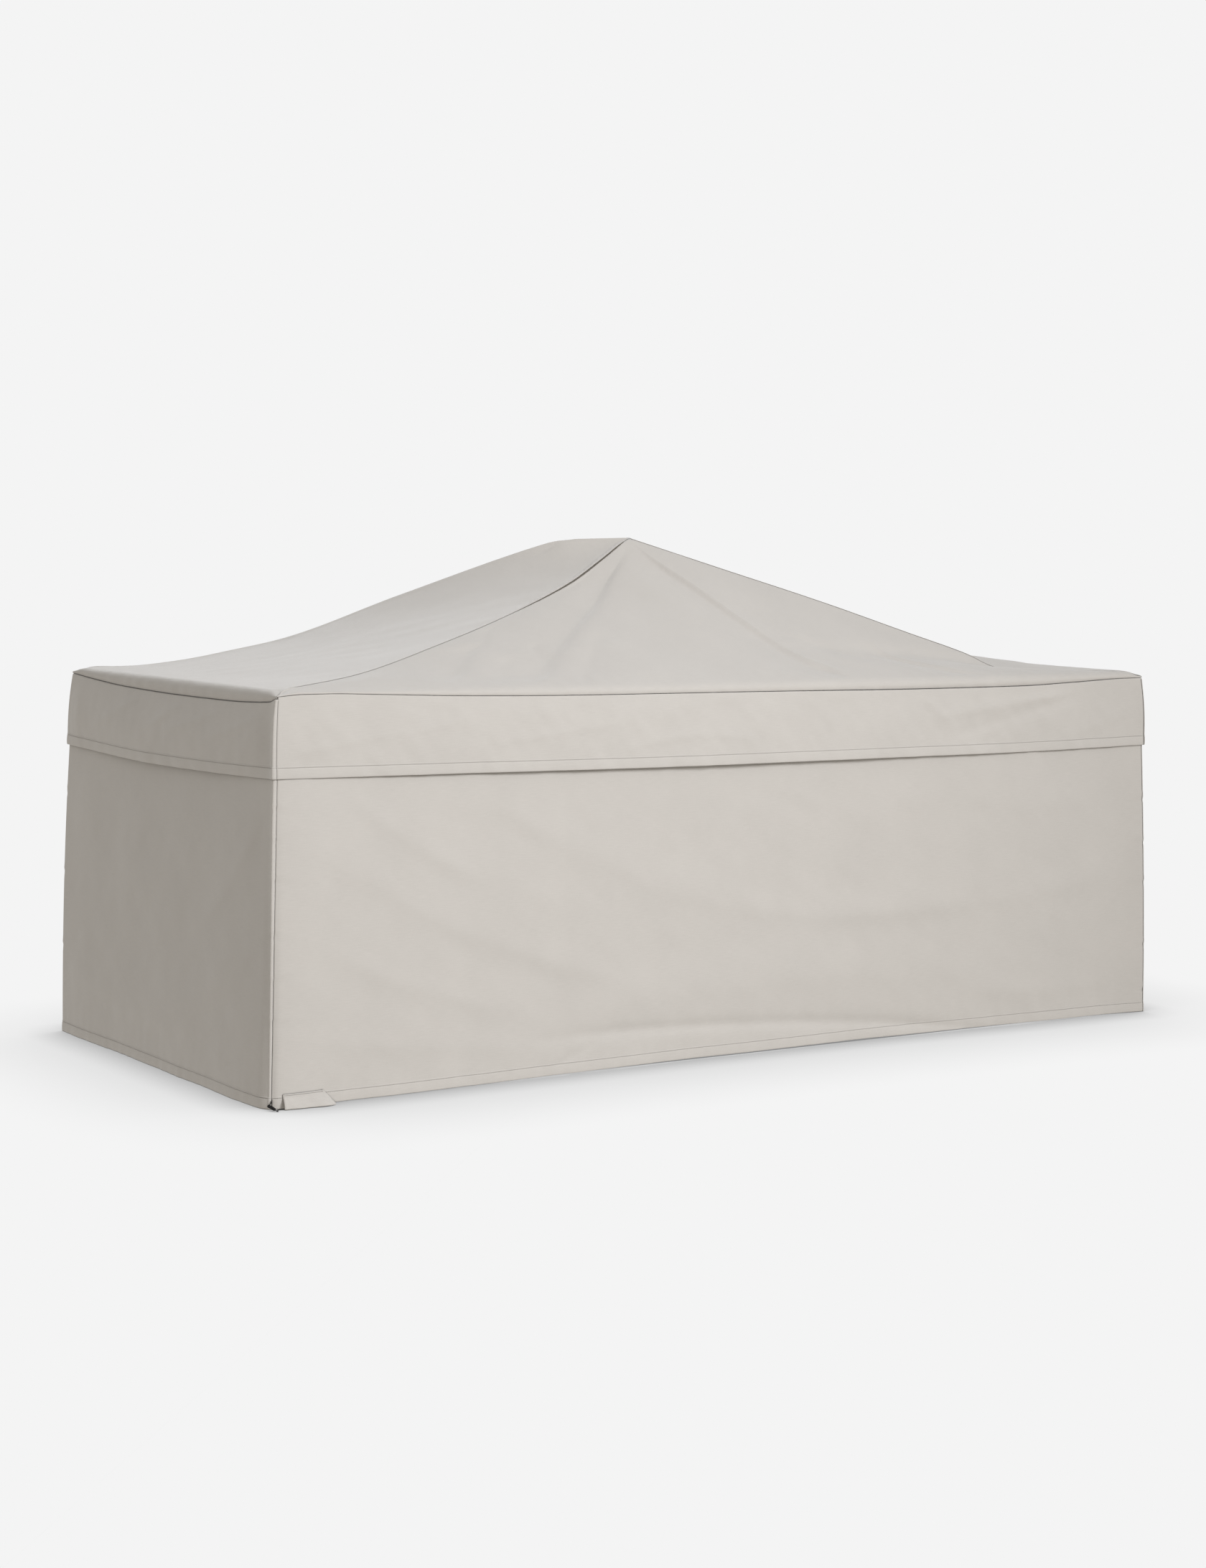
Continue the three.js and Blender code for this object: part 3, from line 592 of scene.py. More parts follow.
        wall_swags=(
            Swag(-0.38, 0.48, 0.38, 0.43, 0.06, 0.0032, 0.07, 0.1),
            Swag(-0.43, 0.56, -0.15, 0.3, 0.04, 0.0022, 0.025, 0.035),
            Swag(-0.42, 0.3, 0.05, 0.11, 0.03, 0.0024, 0.03, 0.045),
            Swag(-0.1, 0.09, 0.4, 0.14, 0.012, 0.0022, 0.025, 0.04),
        ),
        valance_swags=(
            Swag(-0.074, 0.716, 0.064, 0.658, 0.004, 0.0022, 0.01, 0.013),
            Swag(-0.229, 0.708, -0.026, 0.66, 0.004, 0.0022, 0.01, 0.013),
            Swag(-0.37, 0.7, -0.207, 0.662, 0.003, 0.002, 0.01, 0.013),
            Swag(0.12, 0.712, 0.3, 0.65, 0.004, 0.0018, 0.01, 0.013),
        ),
        puckers=((0.542, 0.482, 0.411, 0.314, 0.228, 0.156), (0.5, 0.33, 0.18)),
        folds=(
            GoreFold(Curve(((0.82, 0.74), (0.85, 0.88), (0.868, 0.99))), 0.8, 0.9, 0.0022, 0.01, 0.012),
            GoreFold(Curve(((0.1, 0.3), (0.6, 0.35))), 0.12, 0.66, 0.002, 0.09, 0.07),
        ),
        roll=Curve((
            (-1, 0.002), (-0.95, 0.006), (-0.8, 0.008), (0.6, 0.0075), (0.92, 0.005), (1, 0.002),
        )),
        crest=-0.0015,
        gape=Curve(((-1, 0.0005), (-0.97, SEAM_GAPE), (0.95, SEAM_GAPE), (1, 0.001))),
        billow=0.009, open_hem=True,
        flare=Curve((
            (0, 0.0015), (0.25, 0.0032), (0.55, 0.0052), (0.62, 0.005), (0.7, 0.0045), (0.743, 0.002),
        )),
    ),
    Side.RIGHT: SideShape(
        side=Side.RIGHT, coarse=1.5, half=HALF_WIDTH, depth=HALF_LENGTH, across=(0, 1), out=(1, 0),
        hips=(HIP_FRONT_RIGHT, HIP_BACK_RIGHT),
        middle=Curve(((0, 0), (0.1, 0.05), (0.3, 0.18), (0.5, 0.37), (0.75, 0.66), (1, 1))),
        seam_drop=Curve(((-1, 0), (-0.5, 0.01), (0.1, 0.013), (0.6, 0.009), (1, 0))),
        foot_out=Curve(((-1, 0.02), (-0.3, 0.029), (0.4, 0.032), (1, 0.02))),
        foot_lift=Curve(((-1, 0), (1, 0))),
        belly=Curve(((-1, 1.5), (-0.3, 1.4), (0.4, 1.3), (1, 1.4))),
        valance_out=Curve(((-1, 0.008), (0, 0.014), (1, 0.008))),
        valance_drop=Curve(((-1, 0.002), (0, 0.008), (1, 0.002))),
        wraps=True,
        wall_swags=(
            Swag(-0.38, 0.42, 0.38, 0.5, 0.06, 0.0032, 0.07, 0.1),
            Swag(-0.38, 0.25, 0.2, 0.14, 0.03, 0.0024, 0.03, 0.045),
        ),
        valance_swags=(Swag(-0.25, 0.64, 0.2, 0.7, 0.006, 0.0018, 0.01, 0.014),),
        puckers=((0.476, 0.376, 0.289, 0.151), (0.47, 0.3, 0.17)),
    ),
}


@dataclass
class Sheet:
    """Closed thin cloth between an outer and an inner grid of points, columns by rows by 3.

    `chart` holds each point's place on the flat cloth, in metres, for the weave.
    """

    outer: Array
    inner: Array
    chart: Array

    def faces(self) -> Array:
        """Work out the quads of both grids and of the four strips that join their borders.

        Returns:
            Vertex numbers, four for each face, with the faces pointing out of the solid.
        """
        columns, rows = self.outer.shape[:2]
        index = np.arange(columns * rows).reshape(columns, rows)
        back = index + columns * rows
        a, b, c, d = index[:-1, :-1], index[1:, :-1], index[1:, 1:], index[:-1, 1:]
        e, f, g, h = back[:-1, :-1], back[1:, :-1], back[1:, 1:], back[:-1, 1:]
        sets = [
            (a, b, c, d),
            (e, h, g, f),
            (index[:-1, 0], back[:-1, 0], back[1:, 0], index[1:, 0]),
            (index[:-1, -1], index[1:, -1], back[1:, -1], back[:-1, -1]),
            (index[0, :-1], index[0, 1:], back[0, 1:], back[0, :-1]),
            (index[-1, :-1], back[-1, :-1], back[-1, 1:], index[-1, 1:]),
        ]
        quads = np.concatenate([np.stack([np.ravel(x) for x in four], -1) for four in sets])
        points = np.concatenate([self.outer.reshape(-1, 3), self.inner.reshape(-1, 3)])
        return facing_out(points, quads)

    def build(self, name: str) -> bpy.types.Object:
        """Make the sheet a smooth mesh object with its chart as a UV map.

        Args:
            name: Name of the piece.

        Returns:
            The object, at the origin.
        """
        points = np.concatenate([self.outer.reshape(-1, 3), self.inner.reshape(-1, 3)])
        chart = np.concatenate([self.chart.reshape(-1, 2)] * 2)
        return mesh_object(name, points, self.faces(), chart)


def facing_out(points: Array, quads: Array) -> Array:
    """Turn the faces of a closed mesh to point outwards.

    Args:
        points: Vertex positions.
        quads: Vertex numbers of its faces, wound alike.

    Returns:
        The faces, reversed if their signed volume, a sum of triple products, is negative.
    """
    a, b, c, d = (points[quads[:, k]] for k in range(4))
    volume = np.einsum("ij,ij->", a, np.cross(b, c)) + np.einsum("ij,ij->", a, np.cross(c, d))
    return quads if volume > 0 else quads[:, ::-1]


def mesh_object(name: str, points: Array, quads: Array, chart: Array | None = None) -> bpy.types.Object:
    """Make a smooth mesh object of quads and link it to the scene.

    Args:
        name: Name of the piece.
        points: Vertex positions in the row frame.
        quads: Vertex numbers, four for each face.
        chart: Places of the vertices on the cloth, for a UV map, or None.

    Returns:
        The new object.
    """
    mesh = bpy.data.meshes.new(name)
    mesh.vertices.add(len(points))
    mesh.loops.add(quads.size)
    mesh.polygons.add(len(quads))
    mesh.vertices.foreach_set("co", np.ascontiguousarray(points, dtype=np.float32).ravel())
    mesh.loops.foreach_set("vertex_index", np.ascontiguousarray(quads, dtype=np.int32).ravel())
    mesh.polygons.foreach_set("loop_start", np.arange(0, quads.size, 4, dtype=np.int32))
    mesh.polygons.foreach_set("use_smooth", np.ones(len(quads), dtype=bool))
    if chart is not None:
        layer = mesh.uv_layers.new(name="cloth")
        layer.data.foreach_set("uv", chart[quads.ravel()].astype(np.float32).ravel())
    mesh.update(calc_edges=True)
    mesh.validate()
    piece = bpy.data.objects.new(name, mesh)
    bpy.context.scene.collection.objects.link(piece)
    return piece


def unit(vectors: Array) -> Array:
    """Vectors scaled to length one."""
    return vectors / np.linalg.norm(vectors, axis=-1, keepdims=True)


def tube(rings: Array) -> tuple[Array, Array]:
    """Join rings of points into a closed tube.

    Args:
        rings: Points, stations by an even count of points round by 3.

    Returns:
        The points in one list and quads that face outwards. Strips of quads close both ends.
    """
    stations, sides = rings.shape[:2]
    index = np.arange(stations * sides).reshape(stations, sides)
    step = np.roll(index, -1, axis=1)
    quads = np.stack([index[:-1], step[:-1], step[1:], index[1:]], -1).reshape(-1, 4)
    k = np.arange(sides // 2 - 1)
    strips = np.stack([k, k + 1, sides - 2 - k, sides - 1 - k], -1)
    points = rings.reshape(-1, 3)
    faces = np.concatenate([quads, index[0][strips][:, ::-1], index[-1][strips]])
    return points, facing_out(points, faces)


def graded(start: float, end: float, fine: float, coarse: float, growth: float = 1.45) -> Array:
    """Places from start to end, close together at both ends and even in between.

    Args:
        start: First place.
        end: Last place.
        fine: Step at the ends.
        coarse: Step in the middle.
        growth: Ratio of one step to the one before it, near the ends.

    Returns:
        Rising places that include both ends.
    """
    count = int(math.log(coarse / fine) / math.log(growth)) + 1
    edge = np.concatenate([[0.0], np.cumsum(fine * growth ** np.arange(count))])
    middle = np.linspace(start + edge[-1], end - edge[-1], max(2, round((end - start) / coarse)))
    return np.concatenate([start + edge[:-1], middle, (end - edge[:-1])[::-1]])


@dataclass(frozen=True)
class Tone:
    """A colour as linear red, green and blue."""

    red: float
    green: float
    blue: float

    def scaled(self, factor: float) -> tuple[float, float, float, float]:
        """The colour times a factor, with full opacity."""
        return (self.red * factor, self.green * factor, self.blue * factor, 1.0)


WHITE = (1.0, 1.0, 1.0, 1.0)


class NodeBench:
    """Small helper that adds and joins the nodes of one node tree."""

    def __init__(self, tree: bpy.types.NodeTree) -> None:
        """Keep the tree that the nodes go into."""
        self.tree = tree

    def feed(self, node: bpy.types.Node, feeds: Feeds) -> bpy.types.Node:
        """Feed a node's inputs.

        Args:
            node: The node.
            feeds: A number, colour, vector or source socket for each input, by its name or number.

        Returns:
            The node.
        """
        for key, value in feeds.items():
            if isinstance(value, bpy.types.NodeSocket):
                self.tree.links.new(value, node.inputs[key])
            else:
                node.inputs[key].default_value = value
        return node

    def add(self, kind: str, feeds: Feeds | None = None, **settings: object) -> bpy.types.Node:
        """Add a node.

        Args:
            kind: Node type, without the words that all shader nodes begin with.
            feeds: What goes into its inputs.
            settings: Property names and values.

        Returns:
            The new node.
        """
        node = self.tree.nodes.new(kind if kind.startswith("NodeGroup") else "ShaderNode" + kind)
        for key, value in settings.items():
            setattr(node, key, value)
        return self.feed(node, feeds or {})

    def group(self, tree: bpy.types.NodeTree, feeds: Feeds) -> bpy.types.NodeOutputs:
        """Add a shared group and return its outputs."""
        return self.add("Group", feeds, node_tree=tree).outputs

    def math(self, operation: str, *values: object) -> bpy.types.NodeSocket:
        """Add a Math node on numbers or sockets and return its value."""
        return self.add("Math", dict(enumerate(values)), operation=operation).outputs[0]

    def mix(self, share: object, low: object, high: object) -> bpy.types.NodeSocket:
        """Add a Mix node of two colours, with the second one's share, and return the colour."""
        return self.add("Mix", {6: low, 7: high, "Factor": share}, data_type="RGBA").outputs[2]

    def noise(self, place: object, scale: float, detail: float = 2.0) -> bpy.types.NodeSocket:
        """Add a Noise Texture at a place and return its value."""
        return self.add("TexNoise", {"Vector": place, "Scale": scale, "Detail": detail}).outputs["Fac"]

    def bump(self, height: object, distance: float, strength: float = 1.0) -> bpy.types.NodeSocket:
        """Add a Bump node on a height and return its normal."""
        feeds = {"Height": height, "Distance": distance, "Strength": strength}
        return self.add("Bump", feeds).outputs["Normal"]

    def openness(self, reach: float, samples: int) -> bpy.types.NodeSocket:
        """Add an Ambient Occlusion node and return how open each place is, from 0 to 1."""
        return self.add("AmbientOcclusion", {"Distance": reach}, samples=samples).outputs["AO"]

    def place(self) -> bpy.types.NodeSocket:
        """Add a Texture Coordinate node and return its object coordinates."""
        return self.add("TexCoord").outputs["Object"]

    def chart(self) -> bpy.types.NodeSocket:
        """Add a UV Map node and return the place on the flat cloth."""
        return self.add("UVMap", uv_map="cloth").outputs["UV"]


def node_group(name: str, inputs: dict[str, tuple[str, object]], outputs: dict[str, str]
               ) -> tuple[bpy.types.NodeTree, NodeBench, bpy.types.NodeOutputs, bpy.types.Node]:
    """Start a shader node group with named sockets.

    Args:
        name: Name of the group.
        inputs: Socket type and default of each input by name; None keeps the type's own default.
        outputs: Socket type of each output by name.

    Returns:
        The group, a bench for it, what comes in, and its output node.
    """
    group = bpy.data.node_groups.new(name, "ShaderNodeTree")
    for label, (kind, value) in inputs.items():
        socket = group.interface.new_socket(name=label, in_out="INPUT", socket_type="NodeSocket" + kind)
        if value is not None:
            socket.default_value = value
    for label, kind in outputs.items():
        group.interface.new_socket(name=label, in_out="OUTPUT", socket_type="NodeSocket" + kind)
    bench = NodeBench(group)
    return group, bench, bench.add("NodeGroupInput").outputs, bench.add("NodeGroupOutput")


class ShaderGroups:
    """The node groups that the finishes share, each made once."""

    def __init__(self) -> None:
        """Build the groups."""
        self.weave, self.melange, self.crinkle = self._weave(), self._melange(), self._crinkle()

    @staticmethod
    def _weave() -> bpy.types.NodeTree:
        """Plain weave: each thread is a half sine, and the upper set changes from cell to cell.

        Returns:
            A group that gives the height of the threads at a place on the cloth, from 0 to 1.
        """
        inputs = {"Place": ("Vector", None), "Threads per metre": ("Float", 1500.0)}
        group, bench, given, end = node_group("plain_weave", inputs, {"Height": "Float"})
        split = bench.add("SeparateXYZ", {0: given["Place"]}).outputs
        counts = [bench.math("MULTIPLY", split[axis], given["Threads per metre"]) for axis in "XY"]
        warp, weft = (bench.math("SINE", bench.math("MULTIPLY", bench.math("FRACT", count), math.pi))
                      for count in counts)
        cell = bench.math("ADD", *(bench.math("FLOOR", count) for count in counts))
        parity = bench.math("PINGPONG", cell, 1.0)
        over = bench.math("MULTIPLY", warp, parity)
        under = bench.math("MULTIPLY", weft, bench.math("SUBTRACT", 1.0, parity))
        bench.feed(end, {"Height": bench.math("ADD", over, under)})
        return group

    @staticmethod
    def _melange() -> bpy.types.NodeTree:
        """Melange: fine streaks along both thread directions over broad soft clouds.

        Returns:
            A group that mixes two colours by streaks and clouds.
        """
        inputs = {"Place": ("Vector", None), "Dark": ("Color", None), "Light": ("Color", None),
                  "Streak": ("Float", 0.5)}
        group, bench, given, end = node_group("melange", inputs, {"Color": "Color", "Value": "Float"})
        place, streak = given["Place"], given["Streak"]
        warp, weft = (
            bench.noise(bench.add("Mapping", {"Vector": place, "Scale": scale}).outputs[0], 1.0, 3.0)
            for scale in ((45.0, 750.0, 1.0), (900.0, 110.0, 1.0))
        )
        cloud = bench.noise(place, 9.0, 4.0)
        threads = bench.math("ADD", bench.math("MULTIPLY", warp, 0.7), bench.math("MULTIPLY", weft, 0.3))
        fine = bench.math("MULTIPLY", threads, streak)
        broad = bench.math("MULTIPLY", cloud, bench.math("SUBTRACT", 1.0, streak))
        value = bench.math("ADD", fine, broad)
        bench.feed(end, {"Color": bench.mix(value, given["Dark"], given["Light"]), "Value": value})
        return group

    @staticmethod
    def _crinkle() -> bpy.types.NodeTree:
        """Crinkle: the faint creases of coated cloth, as two sizes of noise folded at their middle.

        Returns:
            A group that gives a height from 0 to 1.
        """
        inputs = {"Place": ("Vector", None), "Size": ("Float", 18.0)}
        group, bench, given, end = node_group("crinkle", inputs, {"Height": "Float"})
        feeds = {"Vector": given["Place"], "Scale": given["Size"], "Detail": 3.0, "Distortion": 0.6}
        noise = bench.add("TexNoise", feeds).outputs["Fac"]
        centred = bench.math("ABSOLUTE", bench.math("SUBTRACT", noise, 0.5))
        bench.feed(end, {"Height": bench.math("SUBTRACT", 1.0, bench.math("MULTIPLY", centred, 2.0))})
        return group


def blank_bench(owner: bpy.types.Material | bpy.types.World) -> NodeBench:
    """Give a material or a world an empty node tree.

    Args:
        owner: The material or world.

    Returns:
        A bench for the tree.
    """
    owner.use_nodes = True
    owner.node_tree.nodes.clear()
    return NodeBench(owner.node_tree)


def new_material(name: str) -> tuple[bpy.types.Material, NodeBench, bpy.types.Node]:
    """Start a material with one Principled BSDF.

    Args:
        name: Name of the material.

    Returns:
        The material, a bench for its nodes, and the shader node.
    """
    material = bpy.data.materials.new(name)
    bench = blank_bench(material)
    shader = bench.add("BsdfPrincipled")
    bench.add("OutputMaterial", {"Surface": shader.outputs["BSDF"]})
    return material, bench, shader


@dataclass(frozen=True)
class ClothFinish:
    """Coated polyester in a fine plain weave: matt, warm light grey, with a faint melange, and painted shade that
    darkens it in narrow crevices.
    """

    tone: Tone = Tone(0.5, 0.474, 0.442)
    contrast: float = 0.14
    roughness: float = 0.86
    sheen: float = 0.62
    threads: float = 1500.0
    weave_height: float = 0.00012
    crinkle_height: float = 0.0006
    crinkle_size: float = 14.0
    relief: float = 0.6
    streak: float = 0.7
    specular: float = 0.28
    # Painted shade in crevices: the ambient occlusion's reach, its gain and offset, and the dark tone that it mixes
    # in.
    crevice: float = 0.003
    crevice_gain: float = 1.6
    crevice_offset: float = -0.45
    crevice_tone: float = 0.1

    def build(self, groups: ShaderGroups) -> bpy.types.Material:
        """Make the material.

        Args:
            groups: The shared node groups.

        Returns:
            A cloth material that reads the piece's own cloth map, with painted shade: its base colour goes dark where
            ambient occlusion finds a narrow crevice.
        """
        material, bench, shader = new_material("cover_cloth")
        place = bench.chart()
        dark, light = (self.tone.scaled(1 + sign * self.contrast) for sign in (-1, 1))
        tones = {"Place": place, "Dark": dark, "Light": light, "Streak": self.streak}
        melange = bench.group(groups.melange, tones)
        # Painted shade: ambient occlusion within a few millimetres mixes the base colour towards a dark tone in
        # crevices and gaps.
        seen = bench.openness(self.crevice, 6)
        clear = bench.math("MULTIPLY_ADD", seen, self.crevice_gain, self.crevice_offset)
        weave = bench.group(groups.weave, {"Place": place, "Threads per metre": self.threads})
        crinkle = bench.group(groups.crinkle, {"Place": place, "Size": self.crinkle_size})
        fine = bench.math("MULTIPLY", weave["Height"], self.weave_height)
        coarse = bench.math("MULTIPLY", crinkle["Height"], self.crinkle_height)
        rough = bench.math("MULTIPLY", melange["Value"], 0.08)
        bench.feed(shader, {
            "Base Color": bench.mix(clear, self.tone.scaled(self.crevice_tone), melange["Color"]),
            "Normal": bench.bump(bench.math("ADD", fine, coarse), 1.0, self.relief),
            "Roughness": bench.math("ADD", rough, self.roughness - 0.04),
        })
        shader.inputs["Sheen Weight"].default_value = self.sheen
        shader.inputs["Sheen Roughness"].default_value = 0.5
        shader.inputs["Specular IOR Level"].default_value = self.specular
        return material


@dataclass(frozen=True)
class ThreadFinish:
    """Twisted sewing thread a little darker than the cloth."""

    tone: Tone = Tone(0.23, 0.21, 0.19)

    def build(self, groups: ShaderGroups) -> bpy.types.Material:
        """Make the material.

        Args:
            groups: The shared node groups.

        Returns:
            A thread material on object coordinates.
        """
        material, bench, shader = new_material("sewing_thread")
        place = bench.place()
        tones = {"Place": place, "Dark": self.tone.scaled(0.85), "Light": self.tone.scaled(1.15)}
        bench.feed(shader, {"Base Color": bench.group(groups.melange, tones)["Color"], "Roughness": 0.7,
                            "Normal": bench.bump(bench.noise(place, 2500.0), 0.0001)})
        return material


@dataclass(frozen=True)
class BraidFinish:
    """Black braided cord: crossed strands around the cord, in its own map."""

    tone: Tone = Tone(0.01, 0.01, 0.011)
    strands: float = 2600.0

    def build(self, groups: ShaderGroups) -> bpy.types.Material:
        """Make the material.

        Args:
            groups: The shared node groups.

        Returns:
            A cord material whose relief is the weave turned by 45 degrees, with painted shade in the hollows between
            strands and a painted highlight on their crowns.
        """
        material, bench, shader = new_material("black_braid")
        turn = (0.0, 0.0, math.radians(45))
        turned = bench.add("Mapping", {"Vector": bench.chart(), "Rotation": turn})
        feeds = {"Place": turned.outputs["Vector"], "Threads per metre": self.strands}
        height = bench.group(groups.weave, feeds)["Height"]
        # Painted shade and highlight: the colour follows the strands' height, dark in the hollows and light on the
        # crowns.
        strand_shade = bench.mix(height, self.tone.scaled(0.5), self.tone.scaled(1.8))
        bench.feed(shader, {"Base Color": strand_shade, "Normal": bench.bump(height, 0.0002), "Roughness": 0.6})
        return material


@dataclass(frozen=True)
class MouldedFinish:
    """Black moulded plastic with a fine spark-eroded grain."""

    tone: Tone = Tone(0.006, 0.006, 0.0065)

    def build(self, groups: ShaderGroups) -> bpy.types.Material:
        """Make the material.

        Args:
            groups: The shared node groups.

        Returns:
            A plastic material on object coordinates.
        """
        material, bench, shader = new_material("moulded_black")
        place = bench.place()
        grain = bench.noise(place, 1800.0, 3.0)
        tones = {"Place": place, "Dark": self.tone.scaled(0.8), "Light": self.tone.scaled(1.25)}
        bench.feed(shader, {
            "Base Color": bench.group(groups.melange, tones)["Color"],
            "Normal": bench.bump(grain, 0.00008),
            "Roughness": bench.math("ADD", bench.math("MULTIPLY", grain, 0.15), 0.38),
        })
        shader.inputs["Specular IOR Level"].default_value = 0.3
        return material


def dress(piece: bpy.types.Object, material: bpy.types.Material, slot: str, *nodes: str) -> None:
    """Give a piece its material and tie it to the frame.

    Args:
        piece: The new object.
        material: Its material.
        slot: The record's material slot.
        nodes: The solids that it stands for.
    """
    piece.data.materials.append(material)
    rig.ride(piece, "root")
    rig.slot(piece, slot)
    if nodes:
        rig.replaces(piece, *nodes)
    LOG.info("%s: %d faces", piece.name, len(piece.data.polygons))


def bell(distance: Array, width: float) -> Array:
    """The bell exp(-(distance / width)^2)."""
    return np.exp(-((distance / width) ** 2))


def tucked(distance: Array) -> Array:
    """Fall of a panel's edge into its seam: 1.2 mm deep at the edge and gone 2 mm away from it."""
    return -0.0012 * bell(distance, 0.0009)


def hem_relief(above_edge: Array) -> Array:
    """Relief of a turned hem over its own panel.

    Args:
        above_edge: Distance above the folded lower edge.

    Returns:
        The extra layer up to the hem's depth and a swell in it, minus the groove that the
        stitches pull and the round of the folded edge.
    """
    layer = HEM_EXTRA * (1 - smooth(HEM_DEPTH - 0.0004, HEM_DEPTH + 0.0007, above_edge))
    swell = 0.0007 * (bell(above_edge - 0.008, 0.008) - bell(above_edge - STITCH_LINE, 0.0011))
    return layer + swell - 0.0012 * np.clip(1 - above_edge / 0.0014, 0, 1) ** 2


HEM_ROWS = np.array([
    0.0, 0.0003, 0.0008, 0.0016, 0.0035, 0.0065, 0.0105, 0.0145, 0.0175, 0.0187, 0.0195, 0.0202,
    0.0209, 0.0215, 0.0219, 0.0223, 0.0228, 0.0245, 0.028,
])


@dataclass
class HangingPanels(ABC):
    """What the walls and the valance share: hemmed panels in plan round the four corners.

    The short sides wrap round each corner and the long sides begin at the seam past it.
    """

    label: str
    row_step: float
    column_step: float = 0.0066
    strip: float = 0.0051
    flare_reach: float = 0.012
    hidden_fold: float = 0.0008
    stitch_margin: float = 0.004
    pucker: float = 0.0014
    pucker_slants: tuple[float, ...] = (0.35, -0.25, 0.15)
    pucker_reaches: tuple[float, ...] = (0.022, 0.032, 0.042)

    @property
    def wrap(self) -> float:
        """Distance from the corner seam to the flat part of a short side."""
        return self.strip + CORNER_RADIUS * math.pi / 2

    @abstractmethod
    def lower(self, shape: SideShape, share: Array) -> Array:
        """Height of the lower edge."""

    @abstractmethod
    def climb(self, low: Array, top: Array) -> Array:
        """Heights of the rows above the hem, up to the top seam."""

    @abstractmethod
    def outside(self, shape: SideShape, share: Array, height: Array) -> Array:
        """Distance of the face outside the seam line."""

    @abstractmethod
    def relief(self, shape: SideShape, share: Array, seam: Array, height: Array) -> Array:
        """Folds along the face's normal, without the hem."""

    def columns(self, shape: SideShape) -> Iterator[Array]:
        """Stations across a panel.

        Args:
            shape: The side.

        Returns:
            As columns, each one's share across from -1 to 1, its turn round the corner in radians,
            its share of the strip past the turn, and its distance from the nearer seam.
        """
        step = self.column_step * shape.coarse
        if not shape.wraps:
            length = 2 * (shape.half - CORNER_WRAP)
            place = graded(0.0, length, 0.0006, step)
            still = np.zeros_like(place)
            stations = 2 * place / length - 1, still, still, np.minimum(place, length - place)
        else:
            straight = 2 * (shape.half - CORNER_RADIUS)
            bend = np.linspace(0, math.pi / 2, 7)[1:]
            strip = np.array([0.2, 0.45, 0.65, 0.8, 0.9, 0.96, 1.0])
            place = graded(0.0, straight, 0.0012, step)
            ends = (
                (np.ones(len(bend) + len(strip)), 2 * place / straight - 1),
                (np.concatenate([bend, np.full(len(strip), math.pi / 2)]), 0 * place),
                (np.concatenate([0 * bend, strip]), 0 * place),
                (np.concatenate([self.wrap - CORNER_RADIUS * bend, self.strip * (1 - strip)]),
                 self.wrap + np.minimum(place, straight - place)),
            )
            stations = (np.concatenate([sign * end[::-1], middle, end])
                        for (end, middle), sign in zip(ends, (-1, 1, 1, 1)))
        return (values[:, None] for values in stations)

    def from_seam(self, shape: SideShape, share: Array) -> Array:
        """Distance of a place on a panel's flat part from the nearer corner seam."""
        edge, start = (CORNER_RADIUS, self.wrap) if shape.wraps else (CORNER_WRAP, 0.0)
        return start + (1 - np.abs(share)) * (shape.half - edge)

    def points(self, shape: SideShape, height: Array, share: Array, seam: Array, lift: float = 0.0,
               turn: Array | float = 0.0, past: Array | float = 0.0, limit: float = 1.0) -> Array:
        """Points of a panel, round its corners.

        Args:
            shape: The side.
            height: Height above the floor.
            share: Share across, from -1 to 1.
            seam: Distance from the nearer seam.
            lift: Displacement along the face's normal, besides the folds and the hem.
            turn: Turn round the corner.
            past: Share of the strip past the turn.
            limit: Greatest fold that the face follows.

        Returns:
            Positions. Along the side they are share (half + outside - r) + (r + normal) sin(turn),
            and outwards depth + outside + flare - r + (r + normal) cos(turn) - past (wrap - r +
            flare), with r the corner's radius, or on the long sides its wrap, where nothing turns.
            The flare fades along exp(-d / flare_reach), with d the distance from the turn.
        """
        outside = self.outside(shape, share, height)
        normal = self.relief(shape, share, seam, height) + hem_relief(height - self.lower(shape, share))
        normal = np.minimum(normal, limit) + lift
        radius = CORNER_RADIUS if shape.wraps else CORNER_WRAP
        reach = share * (shape.half + outside - radius)
        if not shape.wraps:
            return shape.place(reach, shape.depth + outside + normal, height)
        fade = np.exp(-np.clip(seam - self.wrap, 0, None) / self.flare_reach)
        flare = shape.flare(height) * (share < 0) * fade
        along = reach + np.sign(share) * (radius + normal) * np.sin(turn)
        outward = shape.depth + outside + flare - radius + (radius + normal) * np.cos(turn)
        return shape.place(along, outward - past * (CORNER_WRAP - radius + flare), height)

    def build(self, shape: SideShape) -> bpy.types.Object:
        """Build one side's panel.

        Args:
            shape: The side.

        Returns:
            The panel as a closed sheet, one cloth thick.
        """
        share, turn, past, seam = self.columns(shape)
        low, top = self.lower(shape, share), shape.seam_height(share) - SEAM_GAP
        rows = np.concatenate([low + HEM_ROWS, self.climb(low + HEM_ROWS[-1], top)], axis=1)
        outer, inner = (self.points(shape, rows, share, seam, lift, turn, past, limit)
                        for lift, limit in ((0.0, 1.0), (-CLOTH, self.hidden_fold)))
        along = share * shape.half + np.sign(share) * (CORNER_RADIUS * turn + self.strip * past)
        chart = np.stack(np.broadcast_arrays(along, rows), -1)
        return Sheet(outer, inner, chart).build(f"{self.label}_cloth_{shape.side.value}")

